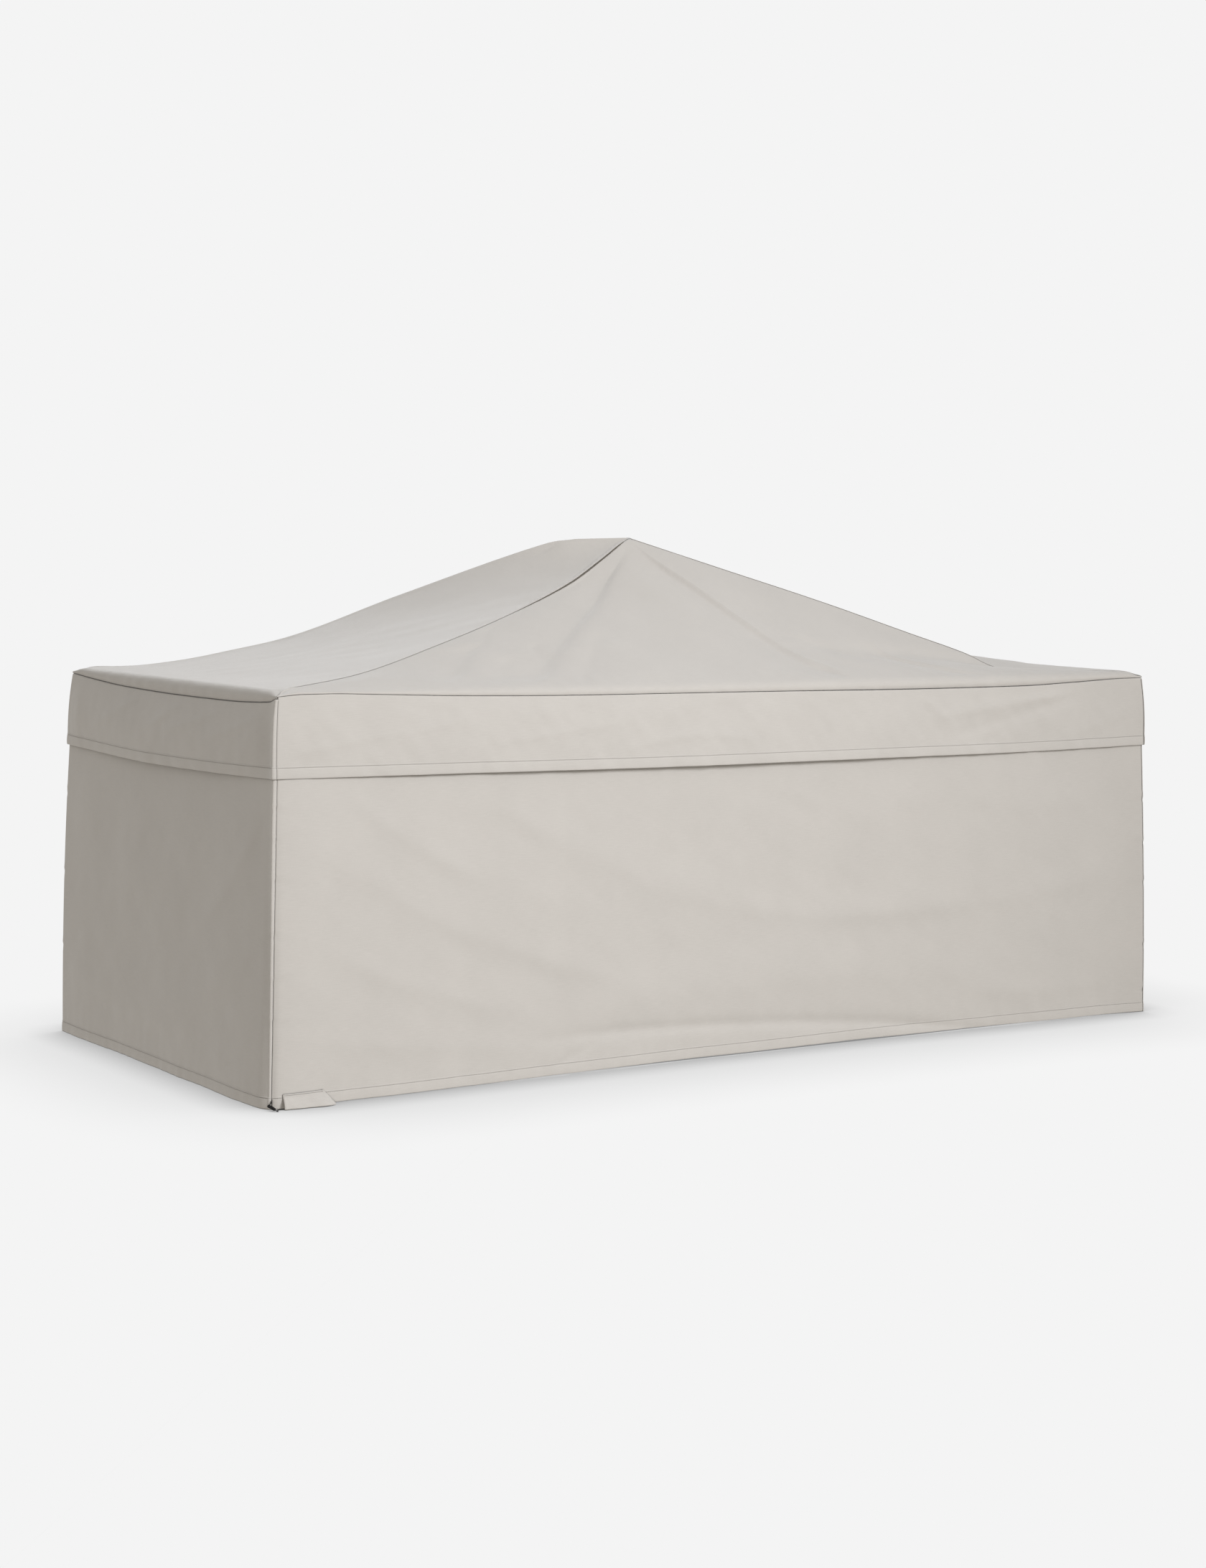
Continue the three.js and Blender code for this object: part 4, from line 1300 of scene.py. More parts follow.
    def stitch_line(self, shape: SideShape, pitch: float) -> tuple[Array, Array]:
        """Places of the hem's stitches.

        Args:
            shape: The side.
            pitch: Distance from stitch to stitch.

        Returns:
            Their positions on the cloth and the way that each one faces.
        """
        reach = shape.half - (CORNER_RADIUS if shape.wraps else CORNER_WRAP)
        share = np.arange(-reach + self.stitch_margin, reach - self.stitch_margin, pitch) / reach
        height = self.lower(shape, share) + STITCH_LINE
        spots = self.points(shape, height, share, self.from_seam(shape, share))
        return spots, np.broadcast_to(np.array([*shape.out, 0.0]), spots.shape)

    def corner_puckers(self, shape: SideShape, share: Array, seam: Array, height: Array) -> Array:
        """Short creases that a corner seam draws across a panel.

        Args:
            shape: The side.
            share: Share across, which tells the two corners apart.
            seam: Distance from the nearer seam.
            height: Height above the floor.

        Returns:
            A trough with a raised lip above it for each named height, slanting down and fading
            along the panel.
        """
        total = np.zeros(np.broadcast(share, seam, height).shape)
        for end, heights in zip((-1, 1), shape.puckers):
            for k, level in enumerate(heights):
                reach = self.pucker_reaches[k % 3]
                offset = height - level + self.pucker_slants[k % 3] * seam
                crease = 0.55 * bell(offset - 0.01, 0.0065) - bell(offset, 0.0045)
                total += self.pucker * crease * np.exp(-seam / reach) * (np.sign(share) == end)
        return total


@dataclass
class Walls(HangingPanels):
    """The four wall panels that hang from the top seam to the floor."""

    label: str = "wall"
    row_step: float = 0.0072
    inset: float = 0.001

    def lower(self, shape: SideShape, share: Array) -> Array:
        """Height of the lower edge."""
        return shape.foot_lift(share)

    def climb(self, low: Array, top: Array) -> Array:
        """Heights of the rows above the hem, even up to the top seam."""
        count = round((SEAM_HEIGHT - HEM_ROWS[-1]) / self.row_step)
        return low + (top - low) * np.linspace(0, 1, count)[1:]

    def outside(self, shape: SideShape, share: Array, height: Array) -> Array:
        """Distance of the face outside the seam line: foot (1 - (1 - down)^belly) - inset."""
        down = np.clip(1 - height / shape.seam_height(share), 0, 1)
        return shape.foot_out(share) * (1 - (1 - down) ** shape.belly(share)) - self.inset

    def relief(self, shape: SideShape, share: Array, seam: Array, height: Array) -> Array:
        """Folds and unevenness of a wall along its normal.

        Args:
            shape: The side.
            share: Share across.
            seam: Distance from the nearer seam.
            height: Height above the floor.

        Returns:
            The swags and two sizes of ripple, faded towards the corners and behind the valance,
            with the corner's puckers, the tuck of the seam and the slit of an open hem.
        """
        down = 1 - height / shape.seam_height(share)
        along, edge, seed = share * shape.half, 1 - np.abs(share), shape.seed
        folds = sum(swag.rise(along, height) for swag in shape.wall_swags)
        soft = 0.0011 * ripple(along, height, 0.26, Grain.WALL_BROAD + seed)
        soft = soft + 0.00035 * ripple(along, height, 0.07, Grain.WALL_SOFT + seed)
        low = 0.0005 * ripple(along, height * 0.4, 0.035, Grain.WALL_HEM + seed) * np.exp(-height / 0.05)
        puckers = self.corner_puckers(shape, share, seam, height) * smooth(0.2, 0.26, down)
        slit = 0.0035 * bell(seam, 0.0012) * (1 - smooth(0.0165, 0.0195, height))
        slit = slit * (shape.open_hem & (share < 0))
        folds = (folds + soft) * smooth(0, 0.2, edge) * smooth(0.2, 0.34, down)
        return folds + low * smooth(0, 0.05, edge) + puckers + tucked(seam) - slit

    def face(self, shape: SideShape, along: Array, height: Array) -> Array:
        """Points on the outer face of a long side's wall.

        Args:
            shape: The side, one that doesn't wrap.
            along: Distance along the side.
            height: Height above the floor.

        Returns:
            Positions on the cloth, hem included.
        """
        share = along / (shape.half - CORNER_WRAP)
        for _ in range(2):
            share = along / (shape.half + self.outside(shape, share, height) - CORNER_WRAP)
        return self.points(shape, height, share, self.from_seam(shape, share))


@dataclass
class Valances(HangingPanels):
    """The hemmed band that hangs over the top of the walls."""

    label: str = "valance"
    row_step: float = 0.0045
    proud: float = 0.0009
    corner_bulge: float = 0.002

    def lower(self, shape: SideShape, share: Array) -> Array:
        """Height of the lower edge."""
        return VALANCE_BOTTOM - shape.valance_drop(share)

    def climb(self, low: Array, top: Array) -> Array:
        """Heights of the rows above the hem.

        Args:
            low: Height of the hem's last row.
            top: Height of the top seam.

        Returns:
            Even rows, and closer ones in the last 8.5 mm below the seam.
        """
        edge = np.array([0.0085, 0.0055, 0.003, 0.0017, 0.0009, 0.0004, 0.0])
        count = round((SEAM_HEIGHT - VALANCE_BOTTOM - HEM_ROWS[-1] - edge[0]) / self.row_step)
        rows = low + (top - edge[0] - low) * np.linspace(0, 1, count)[1:-1]
        return np.concatenate([rows, top - edge], axis=1)

    def outside(self, shape: SideShape, share: Array, height: Array) -> Array:
        """Distance of the valance's face outside the seam line.

        Args:
            shape: The side.
            share: Share across.
            height: Height above the floor.

        Returns:
            proud + (foot - proud) down^0.8 + bulge sin(pi down), with the same bulge at all corners
            and the side's own billow in between.
        """
        top = shape.seam_height(share) - SEAM_GAP
        down = np.clip((top - height) / (top - self.lower(shape, share)), 0, 1)
        between = smooth(0, 0.16, 1 - np.abs(share))
        bulge = self.corner_bulge + (shape.billow - self.corner_bulge) * between
        slant = self.proud + (shape.valance_out(share) - self.proud) * down**0.8
        return slant + bulge * np.sin(math.pi * down)

    def relief(self, shape: SideShape, share: Array, seam: Array, height: Array) -> Array:
        """Folds of the valance along its normal.

        Args:
            shape: The side.
            share: Share across.
            seam: Distance from the nearer corner seam.
            height: Height above the floor.

        Returns:
            The diagonal swags, ripples that grow towards the free edge, fine puckers under the
            top seam, and the tucks of the seams.
        """
        along, seed = share * shape.half, shape.seed
        below = shape.seam_height(share) - SEAM_GAP - height
        away = smooth(0, 0.06, 1 - np.abs(share)) * smooth(0.008, 0.03, below)
        folds = sum(swag.rise(along, height) for swag in shape.valance_swags)
        soft = 0.0008 * ripple(along, height, 0.16, Grain.VALANCE_BROAD + seed)
        soft = soft + 0.00035 * ripple(along, height, 0.05, Grain.VALANCE_SOFT + seed)
        free = ripple(along, 0.3 * height, 0.09, Grain.VALANCE_EDGE + seed)
        free = 0.0006 * free * smooth(0.08, 0.145, below)
        puckers = 0.00045 * ripple(along, 0.2 * height, 0.028, Grain.VALANCE_SEAM + seed)
        puckers = puckers * np.exp(-below / 0.012) * smooth(0, 0.004, below)
        puckers = puckers + self.corner_puckers(shape, share, seam, height)
        under_seam = tucked(below) * shape.gape(share) / SEAM_GAPE
        tucks = np.minimum(tucked(seam) * smooth(0, 0.004, below), under_seam)
        return away * (folds + soft + free) + puckers + tucks


@dataclass
class Roof:
    """The four gores of the top, drawn up to a point and bent down over the table's edge."""

    rise: float = APEX_HEIGHT - TABLE_LEVEL
    step: float = 0.0085
    corner_dip: float = 0.0125
    corner_reach: float = 0.026
    ridge: float = 0.0014
    ridge_width: float = 0.0013
    tuck: float = 0.0022
    bend_rows: int = 18

    def height(self, shape: SideShape, across: Array, up: Array) -> Array:
        """Height of a gore's outer face.

        Args:
            shape: The side.
            across: Place across the gore.
            up: Share of the way up to the apex.

        Returns:
            The table's level plus the rise times one parabola from hip to hip through the gore's
            middle, less the folds and a bell at both corners, with soft ripples that fade at the
            hips and the table's edge.
        """
        first, middle, last = (curve(up) for curve in (shape.hips[0], shape.middle, shape.hips[1]))
        share = middle + (last - first) / 2 * across + ((last + first) / 2 - middle) * across**2
        half, depth = shape.half - TABLE_EDGE, shape.depth - TABLE_EDGE
        x, y, rim, seed = across * (1 - up) * half, (1 - up) * depth, 1 - np.abs(across), shape.seed
        away = smooth(0, 0.12, rim) * smooth(0, 0.1, up) * smooth(0, 0.2, 1 - up)
        soft = 0.0013 * ripple(x, y, 0.3, Grain.ROOF_BROAD + seed)
        soft = soft + 0.0003 * ripple(x, y, 0.08, Grain.ROOF_SOFT + seed)
        edge = bell(up * depth - 0.016, 0.012) * smooth(0, 0.06, rim)
        worn = 0.0005 * edge * ripple(x, 0.8 * y, 0.035, Grain.ROOF_EDGE + seed)
        folds = sum((fold.fall(across, up, half) for fold in shape.folds), np.zeros(x.shape))
        corner = np.hypot(shape.half - np.abs(x), shape.depth - y)
        dip = self.corner_dip * bell(corner, self.corner_reach)
        return TABLE_LEVEL + self.rise * share - folds + away * soft + worn - dip

    @staticmethod
    def from_hip(shape: SideShape, across: Array, up: Array) -> Array:
        """Distance from the nearer hip, on plan."""
        length = math.hypot(shape.half, shape.depth)
        return (1 - np.abs(across)) * (1 - up) * shape.half * shape.depth / length

    def hip_seam(self, shape: SideShape, across: Array, up: Array) -> Array:
        """Relief of the seam along both hips.

        Args:
            shape: The side.
            across: Place across the gore.
            up: Share of the way up.

        Returns:
            On the short sides' gores the raised band of the seam allowance, with fine puckers
            across it, and on the long sides' gores the fall under their edge. The left front seam
            stands open in its upper part.
        """
        distance = self.from_hip(shape, across, up)
        along = (1 - up) * math.hypot(shape.half, shape.depth)
        gape = smooth(0.62, 0.74, up) * (1 - smooth(0.96, 0.99, up)) * (across < 0)
        puckers = 0.0003 * ripple(along, 0.3 * distance, 0.03, Grain.HIP_SEAM)
        puckers = puckers * np.exp(-distance / 0.014) * smooth(0, 0.003, distance)
        if shape.wraps:
            lift = 0.0007 + 0.001 * gape * (shape.side is Side.LEFT)
            return puckers + lift * (1 - smooth(0.007, 0.0095, distance))
        fall = 0.0009 + self.tuck * gape * (shape.side is Side.FRONT)
        return puckers - fall * bell(distance, 0.0016)

    def corner_ridge(self, shape: SideShape, across: Array, up: Array) -> Array:
        """Gathered seam allowance low on each hip, a bell across it."""
        distance = self.from_hip(shape, across, up)
        return self.ridge * bell(distance, self.ridge_width) * (1 - smooth(0.015, 0.055, up))

    def bend(self, shape: SideShape, across: Array, thickness: float) -> Array:
        """Points of the bend from the top seam over the table's edge.

        Args:
            shape: The side.
            across: Place across the gore.
            thickness: Depth under the outer face.

        Returns:
            A cubic Bezier curve in each column, from the seam behind the valance's top out over a
            roll and into the slope of the gore, moved inwards along its normal by the thickness
            less the corner's ridge.
        """
        t = np.linspace(0, 1, self.bend_rows)[None, :-1]
        foot, first = 0 * across, np.full_like(across, 0.012)
        seam, rim = shape.seam_height(across), self.height(shape, across, foot)
        slope = (self.height(shape, across, first) - rim) / (first * (shape.depth - TABLE_EDGE))
        slope = np.clip(slope, -0.2, 0.8)
        uneven = ripple(across * shape.half, foot, 0.04, Grain.ROOF_ROLL + shape.seed)
        roll = shape.roll(across) * (1 + 0.22 * uneven)
        out = (-shape.gape(across), roll, shape.crest + foot, foot - TABLE_EDGE)
        high = (seam, seam + 0.45 * (rim - seam), rim - slope * (TABLE_EDGE + shape.crest), rim)
        weights = ((1 - t) ** 3, 3 * t * (1 - t) ** 2, 3 * t**2 * (1 - t), t**3)
        rates = (-3 * (1 - t) ** 2, 3 * (1 - t) * (1 - 3 * t), 3 * t * (2 - 3 * t), 3 * t**2)
        outward, height, run, climb = (
            sum(weight * value for weight, value in zip(factors, values))
            for factors, values in ((weights, out), (weights, high), (rates, out), (rates, high))
        )
        ridge = self.corner_ridge(shape, across, foot) * smooth(0, 0.4, t)
        under = (thickness - ridge) / np.hypot(run, climb)
        outward, height = outward - under * climb, height + under * run
        return shape.place(across * (shape.half + outward), shape.depth + outward, height)

    def build(self, shape: SideShape) -> bpy.types.Object:
        """Build one gore.

        Args:
            shape: The side.

        Returns:
            The gore as a closed sheet, from the seam over the table's edge up to the apex.
        """
        half, depth, step = shape.half - TABLE_EDGE, shape.depth - TABLE_EDGE, self.step * shape.coarse
        across = graded(-1.0, 1.0, 0.0006 / half, step / half, 1.5)[:, None]
        rows = max(40, round(depth / (step * 0.8 if depth < 0.6 else step)))
        up = np.array([[0.0, 0.003, 0.007, 0.012, 0.018, *np.linspace(0.025, 0.9996, rows)]])
        surface = self.height(shape, across, up) + self.corner_ridge(shape, across, up)
        surface = surface + self.hip_seam(shape, across, up) * smooth(0.01, 0.05, up)
        outer, inner = (
            np.concatenate([
                self.bend(shape, across, thickness),
                shape.place(across * half * (1 - up), depth * (1 - up), surface - thickness),
            ], axis=1)
            for thickness in (0.0, CLOTH)
        )
        steps = np.linalg.norm(np.diff(outer[len(across) // 2], axis=0), axis=1)
        walked = np.concatenate([[0.0], np.cumsum(steps)])[None, :]
        flat = np.repeat(across * shape.half, self.bend_rows - 1, axis=1)
        flat = np.concatenate([flat, across * half * (1 - up)], axis=1)
        chart = np.stack(np.broadcast_arrays(flat, walked), -1)
        return Sheet(outer, inner, chart).build(f"top_gore_{shape.side.value}")


@dataclass
class Stitching:
    """Rows of single stitches: short threads that rise from the cloth at both ends."""

    pitch: float = 0.0036
    length: float = 0.0027
    width: float = 0.00062
    sides: int = 6
    sink: float = 0.00035
    proud: float = 0.00028
    slant: float = 0.1

    def capsule(self) -> tuple[Array, Array]:
        """One stitch along X.

        Returns:
            Points and quads of a hexagon of varying radius carried along X that bows upwards.
        """
        t = np.array([-1.0, -0.6, 0.6, 1.0])[:, None]
        radius = np.array([0.25, 0.95, 0.95, 0.25])[:, None] * self.width / 2
        angle = np.linspace(0, math.tau, self.sides, endpoint=False)
        x, y, z = t * self.length / 2, radius * np.cos(angle), radius * np.sin(angle) - self.sink * t**2
        return tube(np.stack(np.broadcast_arrays(x, y, z), -1))

    def build(self, name: str, spots: Array, facing: Array) -> bpy.types.Object:
        """Carry the stitch along a row.

        Args:
            name: Name of the piece.
            spots: Positions of the stitches.
            facing: The way that each one faces.

        Returns:
            All stitches of the row as one mesh.
        """
        along = unit(np.gradient(spots, axis=0))
        along = unit(along + self.slant * np.cross(facing, along))
        side = unit(np.cross(facing, along))
        up = np.cross(along, side)
        points, quads = self.capsule()
        turned = (spots + self.proud * up)[:, None, :] + sum(
            points[None, :, k:k + 1] * axis[:, None, :] for k, axis in enumerate((along, side, up)))
        faces = quads[None, :, :] + (np.arange(len(spots)) * len(points))[:, None, None]
        return mesh_object(name, turned.reshape(-1, 3), faces.reshape(-1, 4))


@dataclass
class HemPouch:
    """Pouch on the front hem for the end of the cord: open at its left, sewn at top and right."""

    left: float = -1.0685
    right: float = -0.958
    lean: float = 0.026
    top: float = 0.0265
    flat_depth: float = 0.045
    bulge: Curve = Curve(((0, 0.0115), (0.42, 0.015), (0.8, 0.0225), (0.9, 0.019), (1, 0)))
    slant: float = 0.22
    slant_end: float = 0.6
    section_bulge: Curve = Curve((
        (0, 0), (1, 0.06), (2, 0.24), (3, 0.6), (4, 0.88), (5, 1), (6, 1), (7, 0.95),
    ))
    section_up: Curve = Curve((
        (0, 1), (1, 0.87), (2, 0.7), (3, 0.46), (4, 0.25), (5, 0.1), (6, 0.03), (7, 0),
    ))

    def surface(self, walls: Walls, t: Array, k: Array, thickness: float) -> Array:
        """Points of the pouch's cloth.

        Args:
            walls: The walls, which give the face that it is sewn to.
            t: Share of the way from the open end to the sewn one.
            k: Station down the section, from 0 at the top to 7.
            thickness: Depth under the outer face.

        Returns:
            The wall's face moved out by the section's bulge, with the mouth drawn to the left.
        """
        turned = 0.5 * smooth(4.5, 7, k)
        rounded = thickness * turned * np.minimum(self.bulge(t) / 0.004, 1)
        height = self.top * self.section_up(k) + rounded
        right = self.right - self.lean * height / self.top
        x = self.left + (right - self.left) * t
        face = walls.face(SHAPES[Side.FRONT], x, height)
        edge = (self.right - self.left) * np.minimum(t, 1 - t)
        crumple = 0.0005 * ripple(x, 2 * height, 0.03, Grain.POUCH) * smooth(0.3, 2, k)
        rim = 0.0006 * (bell(edge - 0.003, 0.0022) - bell(edge, 0.0008))
        out = self.bulge(t) * self.section_bulge(k)
        stand = SEAM_GAP + CLOTH + out + crumple + rim - thickness * (1 - 0.8 * turned)
        pulled = self.slant * out * (1 - smooth(0, self.slant_end, t))
        point = face + np.stack([-pulled, -stand, 0 * height], -1)
        point[..., 2] = height
        return point

    def build(self, walls: Walls) -> bpy.types.Object:
        """Build the pouch on the hem's face.

        Args:
            walls: The walls, which give the face that it is sewn to.

        Returns:
            The pouch as a closed sheet that bulges out from the hem.
        """
        t = graded(0.0, 1.0, 0.006, 0.02, 1.4)[:, None]
        k = np.concatenate([[0.0, 0.08, 0.2], np.linspace(0.4, 7, 40)])[None, :]
        outer, inner = (self.surface(walls, t, k, thickness) for thickness in (0.0, CLOTH))
        along, down = self.left + (self.right - self.left) * t, self.flat_depth * k / 7
        chart = np.stack(np.broadcast_arrays(along, down), -1)
        return Sheet(outer, inner, chart).build("pouch_cloth")

    def stitch_line(self, walls: Walls, pitch: float) -> tuple[Array, Array]:
        """Places of the stitches along the pouch's top edge.

        Args:
            walls: The walls, which give the face under them.
            pitch: Distance from stitch to stitch.

        Returns:
            Their positions and the way that each one faces.
        """
        t = np.arange(0.04, 0.96, pitch / (self.right - self.left))
        spots = self.surface(walls, t, np.full_like(t, 0.62), 0.0)
        return spots, np.broadcast_to(np.array([0.0, -1.0, 0.0]), spots.shape)


@dataclass
class Drawcord:
    """Braided cord from the corner of the hem, through its lock, into the pouch."""

    diameter: float = 0.0018
    route: tuple[tuple[float, float, float], ...] = (
        (-1.089, -0.4692, 0.0145), (-1.09, -0.4735, 0.0145), (-1.0918, -0.4776, 0.014),
        (-1.0945, -0.4806, 0.0128), (-1.097, -0.4812, 0.0108), (-1.0979, -0.4796, 0.0088),
        (-1.0962, -0.4842, 0.0072), (-1.0942, -0.4902, 0.0054), (-1.0926, -0.495, 0.0037),
        (-1.091, -0.4972, 0.0022), (-1.0886, -0.4972, 0.0012), (-1.0866, -0.4938, 0.001),
        (-1.0848, -0.4895, 0.001), (-1.0822, -0.4854, 0.001), (-1.078, -0.4846, 0.001),
        (-1.0735, -0.4848, 0.001), (-1.0693, -0.4853, 0.001), (-1.063, -0.4862, 0.0012),
        (-1.057, -0.4868, 0.0018), (-1.05, -0.4872, 0.0026), (-1.044, -0.4874, 0.003),
        (-1.038, -0.4874, 0.0032),
    )
    samples: int = 12
    sides: int = 16
    path_step: int = 4
    length: float = field(default=0.0, init=False)
    path: list[list[float]] = field(default_factory=list, init=False)

    def centreline(self) -> Array:
        """Smooth line through the route.

        Returns:
            Points of the uniform Catmull-Rom spline, `samples` for each stretch.
        """
        knots = np.array(self.route)
        padded = np.vstack([2 * knots[0] - knots[1], knots, 2 * knots[-1] - knots[-2]])
        t = np.linspace(0, 1, self.samples, endpoint=False)[None, :, None]
        a, b, c, d = (padded[k:len(knots) - 1 + k, None, :] for k in range(4))
        square, cube = 2 * a - 5 * b + 4 * c - d, 3 * b - a - 3 * c + d
        line = 0.5 * (2 * b + (c - a) * t + square * t**2 + cube * t**3)
        return np.vstack([line.reshape(-1, 3), knots[-1:]])

    def build(self) -> bpy.types.Object:
        """Carry a circle along the line, and keep its length and path.

        Returns:
            The cord as a closed tube.
        """
        line = self.centreline()
        tangent = unit(np.gradient(line, axis=0))
        side = unit(np.cross(tangent, np.array([0.2, -0.9, 0.4])))
        up = np.cross(side, tangent)
        angle = np.linspace(0, math.tau, self.sides, endpoint=False)[None, :, None]
        ring = side[:, None, :] * np.cos(angle) + up[:, None, :] * np.sin(angle)
        points, faces = tube(line[:, None, :] + self.diameter / 2 * ring)
        walked = np.concatenate([[0.0], np.cumsum(np.linalg.norm(np.diff(line, axis=0), axis=1))])
        around = np.minimum(angle, math.tau - angle)[..., 0] * self.diameter / 2
        chart = np.stack(np.broadcast_arrays(walked[:, None], around), -1).reshape(-1, 2)
        cord = mesh_object("cord_braid", points, faces, chart)
        self.length = float(walked[-1])
        self.path = line[::self.path_step].tolist() + [line[-1].tolist()]
        return cord


@dataclass
class CordLock:
    """Barrel lock that leans on the corner of the hem, with its button at the lower end."""

    upper: tuple[float, float, float] = (-1.0977, -0.4797, 0.0085)
    lower: tuple[float, float, float] = (-1.0934, -0.4927, 0.0046)
    radius: float = 0.0031
    sides: int = 40

    def turned(self, name: str, profile: Sequence[tuple[float, float]]) -> bpy.types.Object:
        """Revolve a profile about the lock's axis.

        Args:
            name: Name of the piece.
            profile: Place along the axis from the middle, and radius, from end to end.

        Returns:
            The closed solid of revolution.
        """
        upper, lower = np.array(self.upper), np.array(self.lower)
        axis = unit(lower - upper)
        side = unit(np.cross(axis, [0.0, 0.0, 1.0]))
        third = np.cross(axis, side)
        place, radius = np.array(profile).T
        angle = np.linspace(0, math.tau, self.sides, endpoint=False)
        ring = side * np.cos(angle)[:, None] + third * np.sin(angle)[:, None]
        centre = (upper + lower) / 2 + place[:, None] * axis
        return mesh_object(name, *tube(centre[:, None, :] + radius[:, None, None] * ring[None]))

    def build(self) -> list[bpy.types.Object]:
        """Build the barrel and its button.

        Returns:
            The barrel with its rounded rims and grip rings, and the button.
        """
        half, r, tip = 0.0087, self.radius, 0.00002
        barrel = [(-half, tip), (-half, r * 0.7), (-half + 0.0002, r * 0.84), (-half + 0.0008, r * 0.97),
                  (-half + 0.0014, r)]
        for groove in (-0.005, -0.0036, -0.0022):
            barrel += [(groove - 0.0004, r), (groove - 0.0001, r * 0.93), (groove + 0.0001, r * 0.93),
                       (groove + 0.0004, r)]
        barrel += [(0.0036, r), (0.0042, r * 0.97), (0.0046, r * 0.88), (0.0047, r * 0.7), (0.0047, tip)]
        button = [(0.0049, tip), (0.0049, r * 0.8), (0.0053, r * 0.9), (0.0076, r * 0.9),
                  (0.0083, r * 0.82), (half, r * 0.6), (half + 0.0001, r * 0.3), (half + 0.0001, tip)]
        return [self.turned("lock_barrel", barrel), self.turned("lock_button", button)]


@dataclass
class Studio:
    """Camera, floor and light of the product photograph."""

    place: tuple[float, float, float] = (-3.4872, -5.0839, 1.0595)
    yaw: float = 34.007
    pitch: float = -5.088
    roll: float = 0.823
    focal_pixels: float = 4037.0
    frame_pixels: float = 2185.0
    sensor: float = 36.0
    far: float = 100.0
    floor_half: float = 40.0
    backdrop: float = 0.905
    bounce: float = 0.605
    sky_even: float = 0.43
    sky_top: float = 0.18
    side_tint: Tone = Tone(1.06, 1.01, 0.935)
    key_tint: Tone = Tone(0.985, 1.0, 1.03)
    key_place: tuple[float, float, float] = (0.9, -5.6, 3.44)
    key_aim: tuple[float, float, float] = (-0.8, -0.45, 0.5)
    key_power: float = 1290.0
    key_radius: float = 1.3
    key_cone: float = 62.0
    # Reach and power of the floor's painted contact shadow, and the half sizes of its painted shade under the cover.
    contacts: tuple[tuple[float, float], ...] = ((0.1, 0.55), (0.42, 0.38))
    under_cover: tuple[float, float] = (1.064, 0.445)

    def camera(self) -> None:
        """Set the camera where the photograph's vanishing points put it."""
        yaw, pitch, roll = (math.radians(angle) for angle in (self.yaw, self.pitch, self.roll))
        flat = math.cos(pitch)
        forward = Vector((math.sin(yaw) * flat, math.cos(yaw) * flat, math.sin(pitch)))
        level = forward.cross(Vector((0, 0, 1))).normalized()
        above = level.cross(forward)
        right = level * math.cos(roll) + above * math.sin(roll)
        up = above * math.cos(roll) - level * math.sin(roll)
        data = bpy.data.cameras.new("photo_camera")
        data.sensor_width = self.sensor
        data.lens = self.sensor * self.focal_pixels / self.frame_pixels
        data.clip_end = self.far
        camera = bpy.data.objects.new("photo_camera", data)
        matrix = Matrix((right, up, -forward)).transposed().to_4x4()
        matrix.translation = Vector(self.place)
        camera.matrix_world = matrix
        bpy.context.scene.collection.objects.link(camera)
        bpy.context.scene.camera = camera

    def surround(self) -> None:
        """Set the backdrop that the camera sees, and a dome, warm low down and brightest overhead."""
        world = bpy.data.worlds.new("surround")
        bench = blank_bench(world)
        split = bench.add("SeparateXYZ", {0: bench.add("NewGeometry").outputs["Position"]}).outputs
        rise = bench.math("MAXIMUM", split["Z"], 0.0)
        lit = bench.add("Background", {
            "Strength": bench.math("MULTIPLY_ADD", rise, self.sky_top, self.sky_even),
            "Color": bench.mix(rise, self.side_tint.scaled(1), WHITE),
        })
        seen = bench.add("Background", {"Color": (*[self.backdrop] * 3, 1.0)})
        camera = bench.add("LightPath").outputs["Is Camera Ray"]
        mix = bench.add("MixShader", {0: camera, 1: lit.outputs[0], 2: seen.outputs[0]})
        bench.add("OutputWorld", {"Surface": mix.outputs[0]})
        bpy.context.scene.world = world
        bpy.context.scene.view_settings.view_transform = "Standard"

    def key(self) -> None:
        """Set one broad soft lamp at the front right, aimed at the near end of the cover."""
        data = bpy.data.lights.new("key", "SPOT")
        data.energy = self.key_power
        data.color = self.key_tint.scaled(1)[:3]
        data.shadow_soft_size = self.key_radius
        data.spot_size = math.radians(self.key_cone)
        data.spot_blend = 1.0
        lamp = bpy.data.objects.new("key", data)
        lamp.location = self.key_place
        lamp.rotation_mode = "QUATERNION"
        aim = Vector(self.key_aim) - Vector(self.key_place)
        lamp.rotation_quaternion = aim.to_track_quat("-Z", "Y")
        lamp.visible_camera = False
        bpy.context.scene.collection.objects.link(lamp)

    def floor(self) -> None:
        """Lay a glowing floor that runs into the backdrop and lights the cover from below, with a painted contact
        shadow and painted shade under the cover.
        """
        corners = self.floor_half * np.array([[-1, -1, 0], [1, -1, 0], [1, 1, 0], [-1, 1, 0]])
        floor = mesh_object("studio_floor", corners, np.array([[0, 1, 2, 3]]))
        material = bpy.data.materials.new("pale_floor")
        bench = blank_bench(material)
        # Painted contact shadow: ambient occlusion at two reaches darkens the floor's glow near the cover, for the
        # camera only.
        contact = (bench.math("POWER", bench.openness(reach, 12), power) for reach, power in self.contacts)
        split = bench.add("SeparateXYZ", {0: bench.place()}).outputs
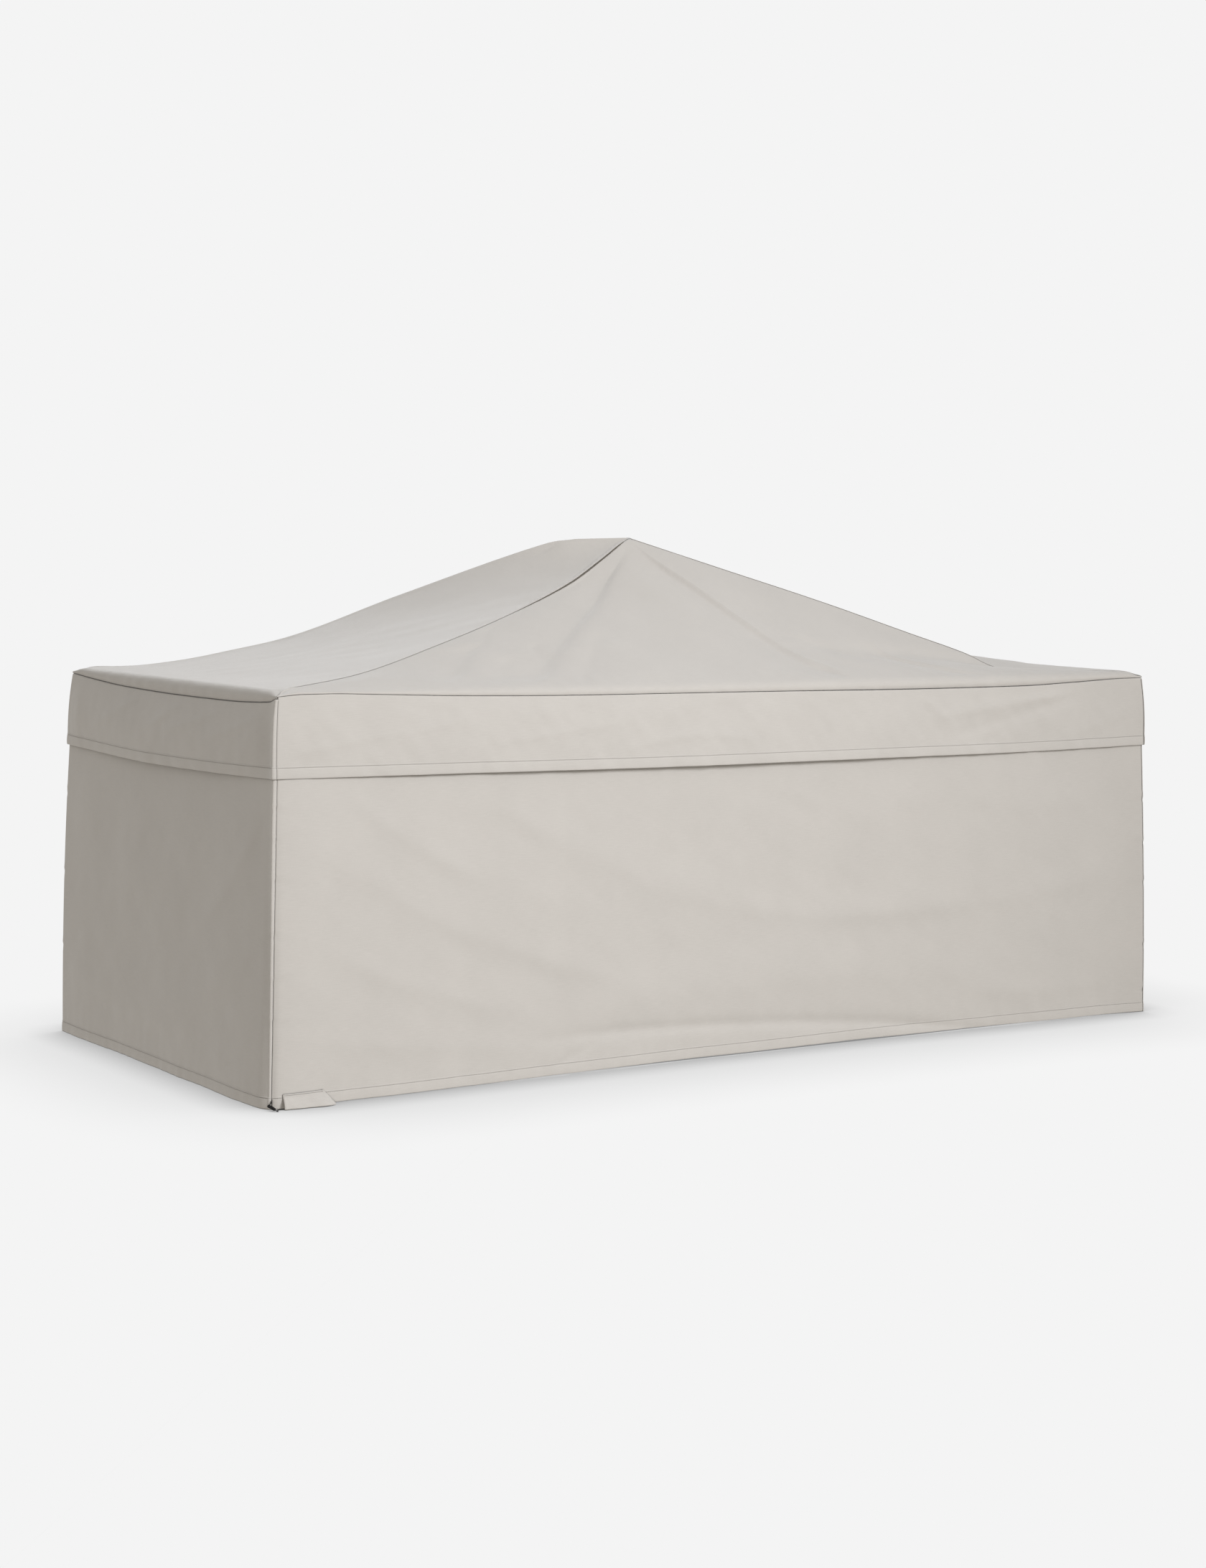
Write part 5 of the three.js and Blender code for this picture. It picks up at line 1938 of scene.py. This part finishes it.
        # Painted shade under the cover: the glow that the camera sees is halved inside the cover's foot.
        under = bench.math("MULTIPLY", *(
            bench.math("LESS_THAN", bench.math("ABSOLUTE", split[axis]), edge)
            for axis, edge in zip("XY", self.under_cover)
        ))
        dark = bench.math("MULTIPLY_ADD", under, -0.5, 1.0)
        shade = bench.math("MULTIPLY", bench.math("MULTIPLY", *contact), dark)
        seen = bench.add("LightPath").outputs["Is Camera Ray"]
        gain = bench.math("MULTIPLY_ADD", shade, self.backdrop, -self.bounce)
        glow = bench.add("Emission", {
            "Strength": bench.math("MULTIPLY_ADD", seen, gain, self.bounce),
            "Color": bench.mix(seen, self.side_tint.scaled(1), WHITE),
        })
        bench.add("OutputMaterial", {"Surface": glow.outputs[0]})
        floor.data.materials.append(material)
        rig.stage(floor)


def declare_sheets(pieces: dict[str, bpy.types.Object]) -> None:
    """Declare each cloth panel with the size that it was cut to.

    Args:
        pieces: The cloth pieces by name.
    """
    allowance, foot_allowance, gore_turns, gore_share = 0.03, 0.06, 0.04, 0.54
    wall_drop, band_drop = 0.79, 0.172
    for side, shape in SHAPES.items():
        name, length = side.value, 2 * shape.half
        slope = math.hypot(shape.depth, APEX_HEIGHT - TABLE_LEVEL) + gore_turns
        wide = length + allowance
        top = pieces[f"top_gore_{name}"]
        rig.sheet(top, flat=(wide, slope), held="draped", area=wide * slope * gore_share)
        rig.sheet(pieces[f"wall_cloth_{name}"], flat=(length + foot_allowance, wall_drop), held="hung",
                 rests_on=[top])
        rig.sheet(pieces[f"valance_cloth_{name}"], flat=(wide, band_drop), held="hung", rests_on=[top])
    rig.sheet(pieces["pouch_cloth"], flat=(0.11, 0.045), held="hung",
             rests_on=[pieces["wall_cloth_front"]])


def main() -> None:
    """Build the camera, the cord, the cloth panels, the stitches and the studio, in that order."""
    logging.basicConfig(level=logging.INFO, format="%(name)s: %(message)s")
    groups = ShaderGroups()
    cloth, thread = ClothFinish().build(groups), ThreadFinish().build(groups)
    braid, moulded = BraidFinish().build(groups), MouldedFinish().build(groups)
    studio = Studio()
    studio.camera()
    drawcord, lock = Drawcord(), CordLock()
    cord = drawcord.build()
    dress(cord, braid, "cord", "drawcord")
    barrel, button = lock.build()
    dress(barrel, moulded, "lock", "cord_lock")
    dress(button, moulded, "lock")
    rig.cord(cord, exit=drawcord.route[0], length=drawcord.length, diameter=drawcord.diameter,
            far_end="object", stiffness="limp", path=drawcord.path, with_pieces=[barrel, button])
    roof, walls, valances, stitching = Roof(), Walls(), Valances(), Stitching()
    pieces: dict[str, bpy.types.Object] = {}
    for side, shape in SHAPES.items():
        name = side.value
        for piece, node in (
            (roof.build(shape), f"roof_{name}"),
            (valances.build(shape), f"valance_{name}"),
            (walls.build(shape), f"wall_{name}"),
        ):
            dress(piece, cloth, "cloth", node)
            pieces[piece.name] = piece
        for panels in (walls, valances):
            spots, facing = panels.stitch_line(shape, stitching.pitch)
            dress(stitching.build(f"{panels.label}_stitches_{name}", spots, facing), thread, "cloth")
    hem_pouch = HemPouch()
    pouch = hem_pouch.build(walls)
    dress(pouch, cloth, "cloth", "hem_pocket")
    spots, facing = hem_pouch.stitch_line(walls, stitching.pitch)
    dress(stitching.build("pouch_stitches", spots, facing), thread, "cloth")
    pieces[pouch.name] = pouch
    declare_sheets(pieces)
    studio.floor()
    studio.surround()
    studio.key()
    with open("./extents.json", "w") as out:
        boxes = {"cad": CAD_BOX, "visual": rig.bounds()}
        json.dump({key: [list(map(float, corner)) for corner in box] for key, box in boxes.items()}, out)


if __name__ == "__main__":
    main()
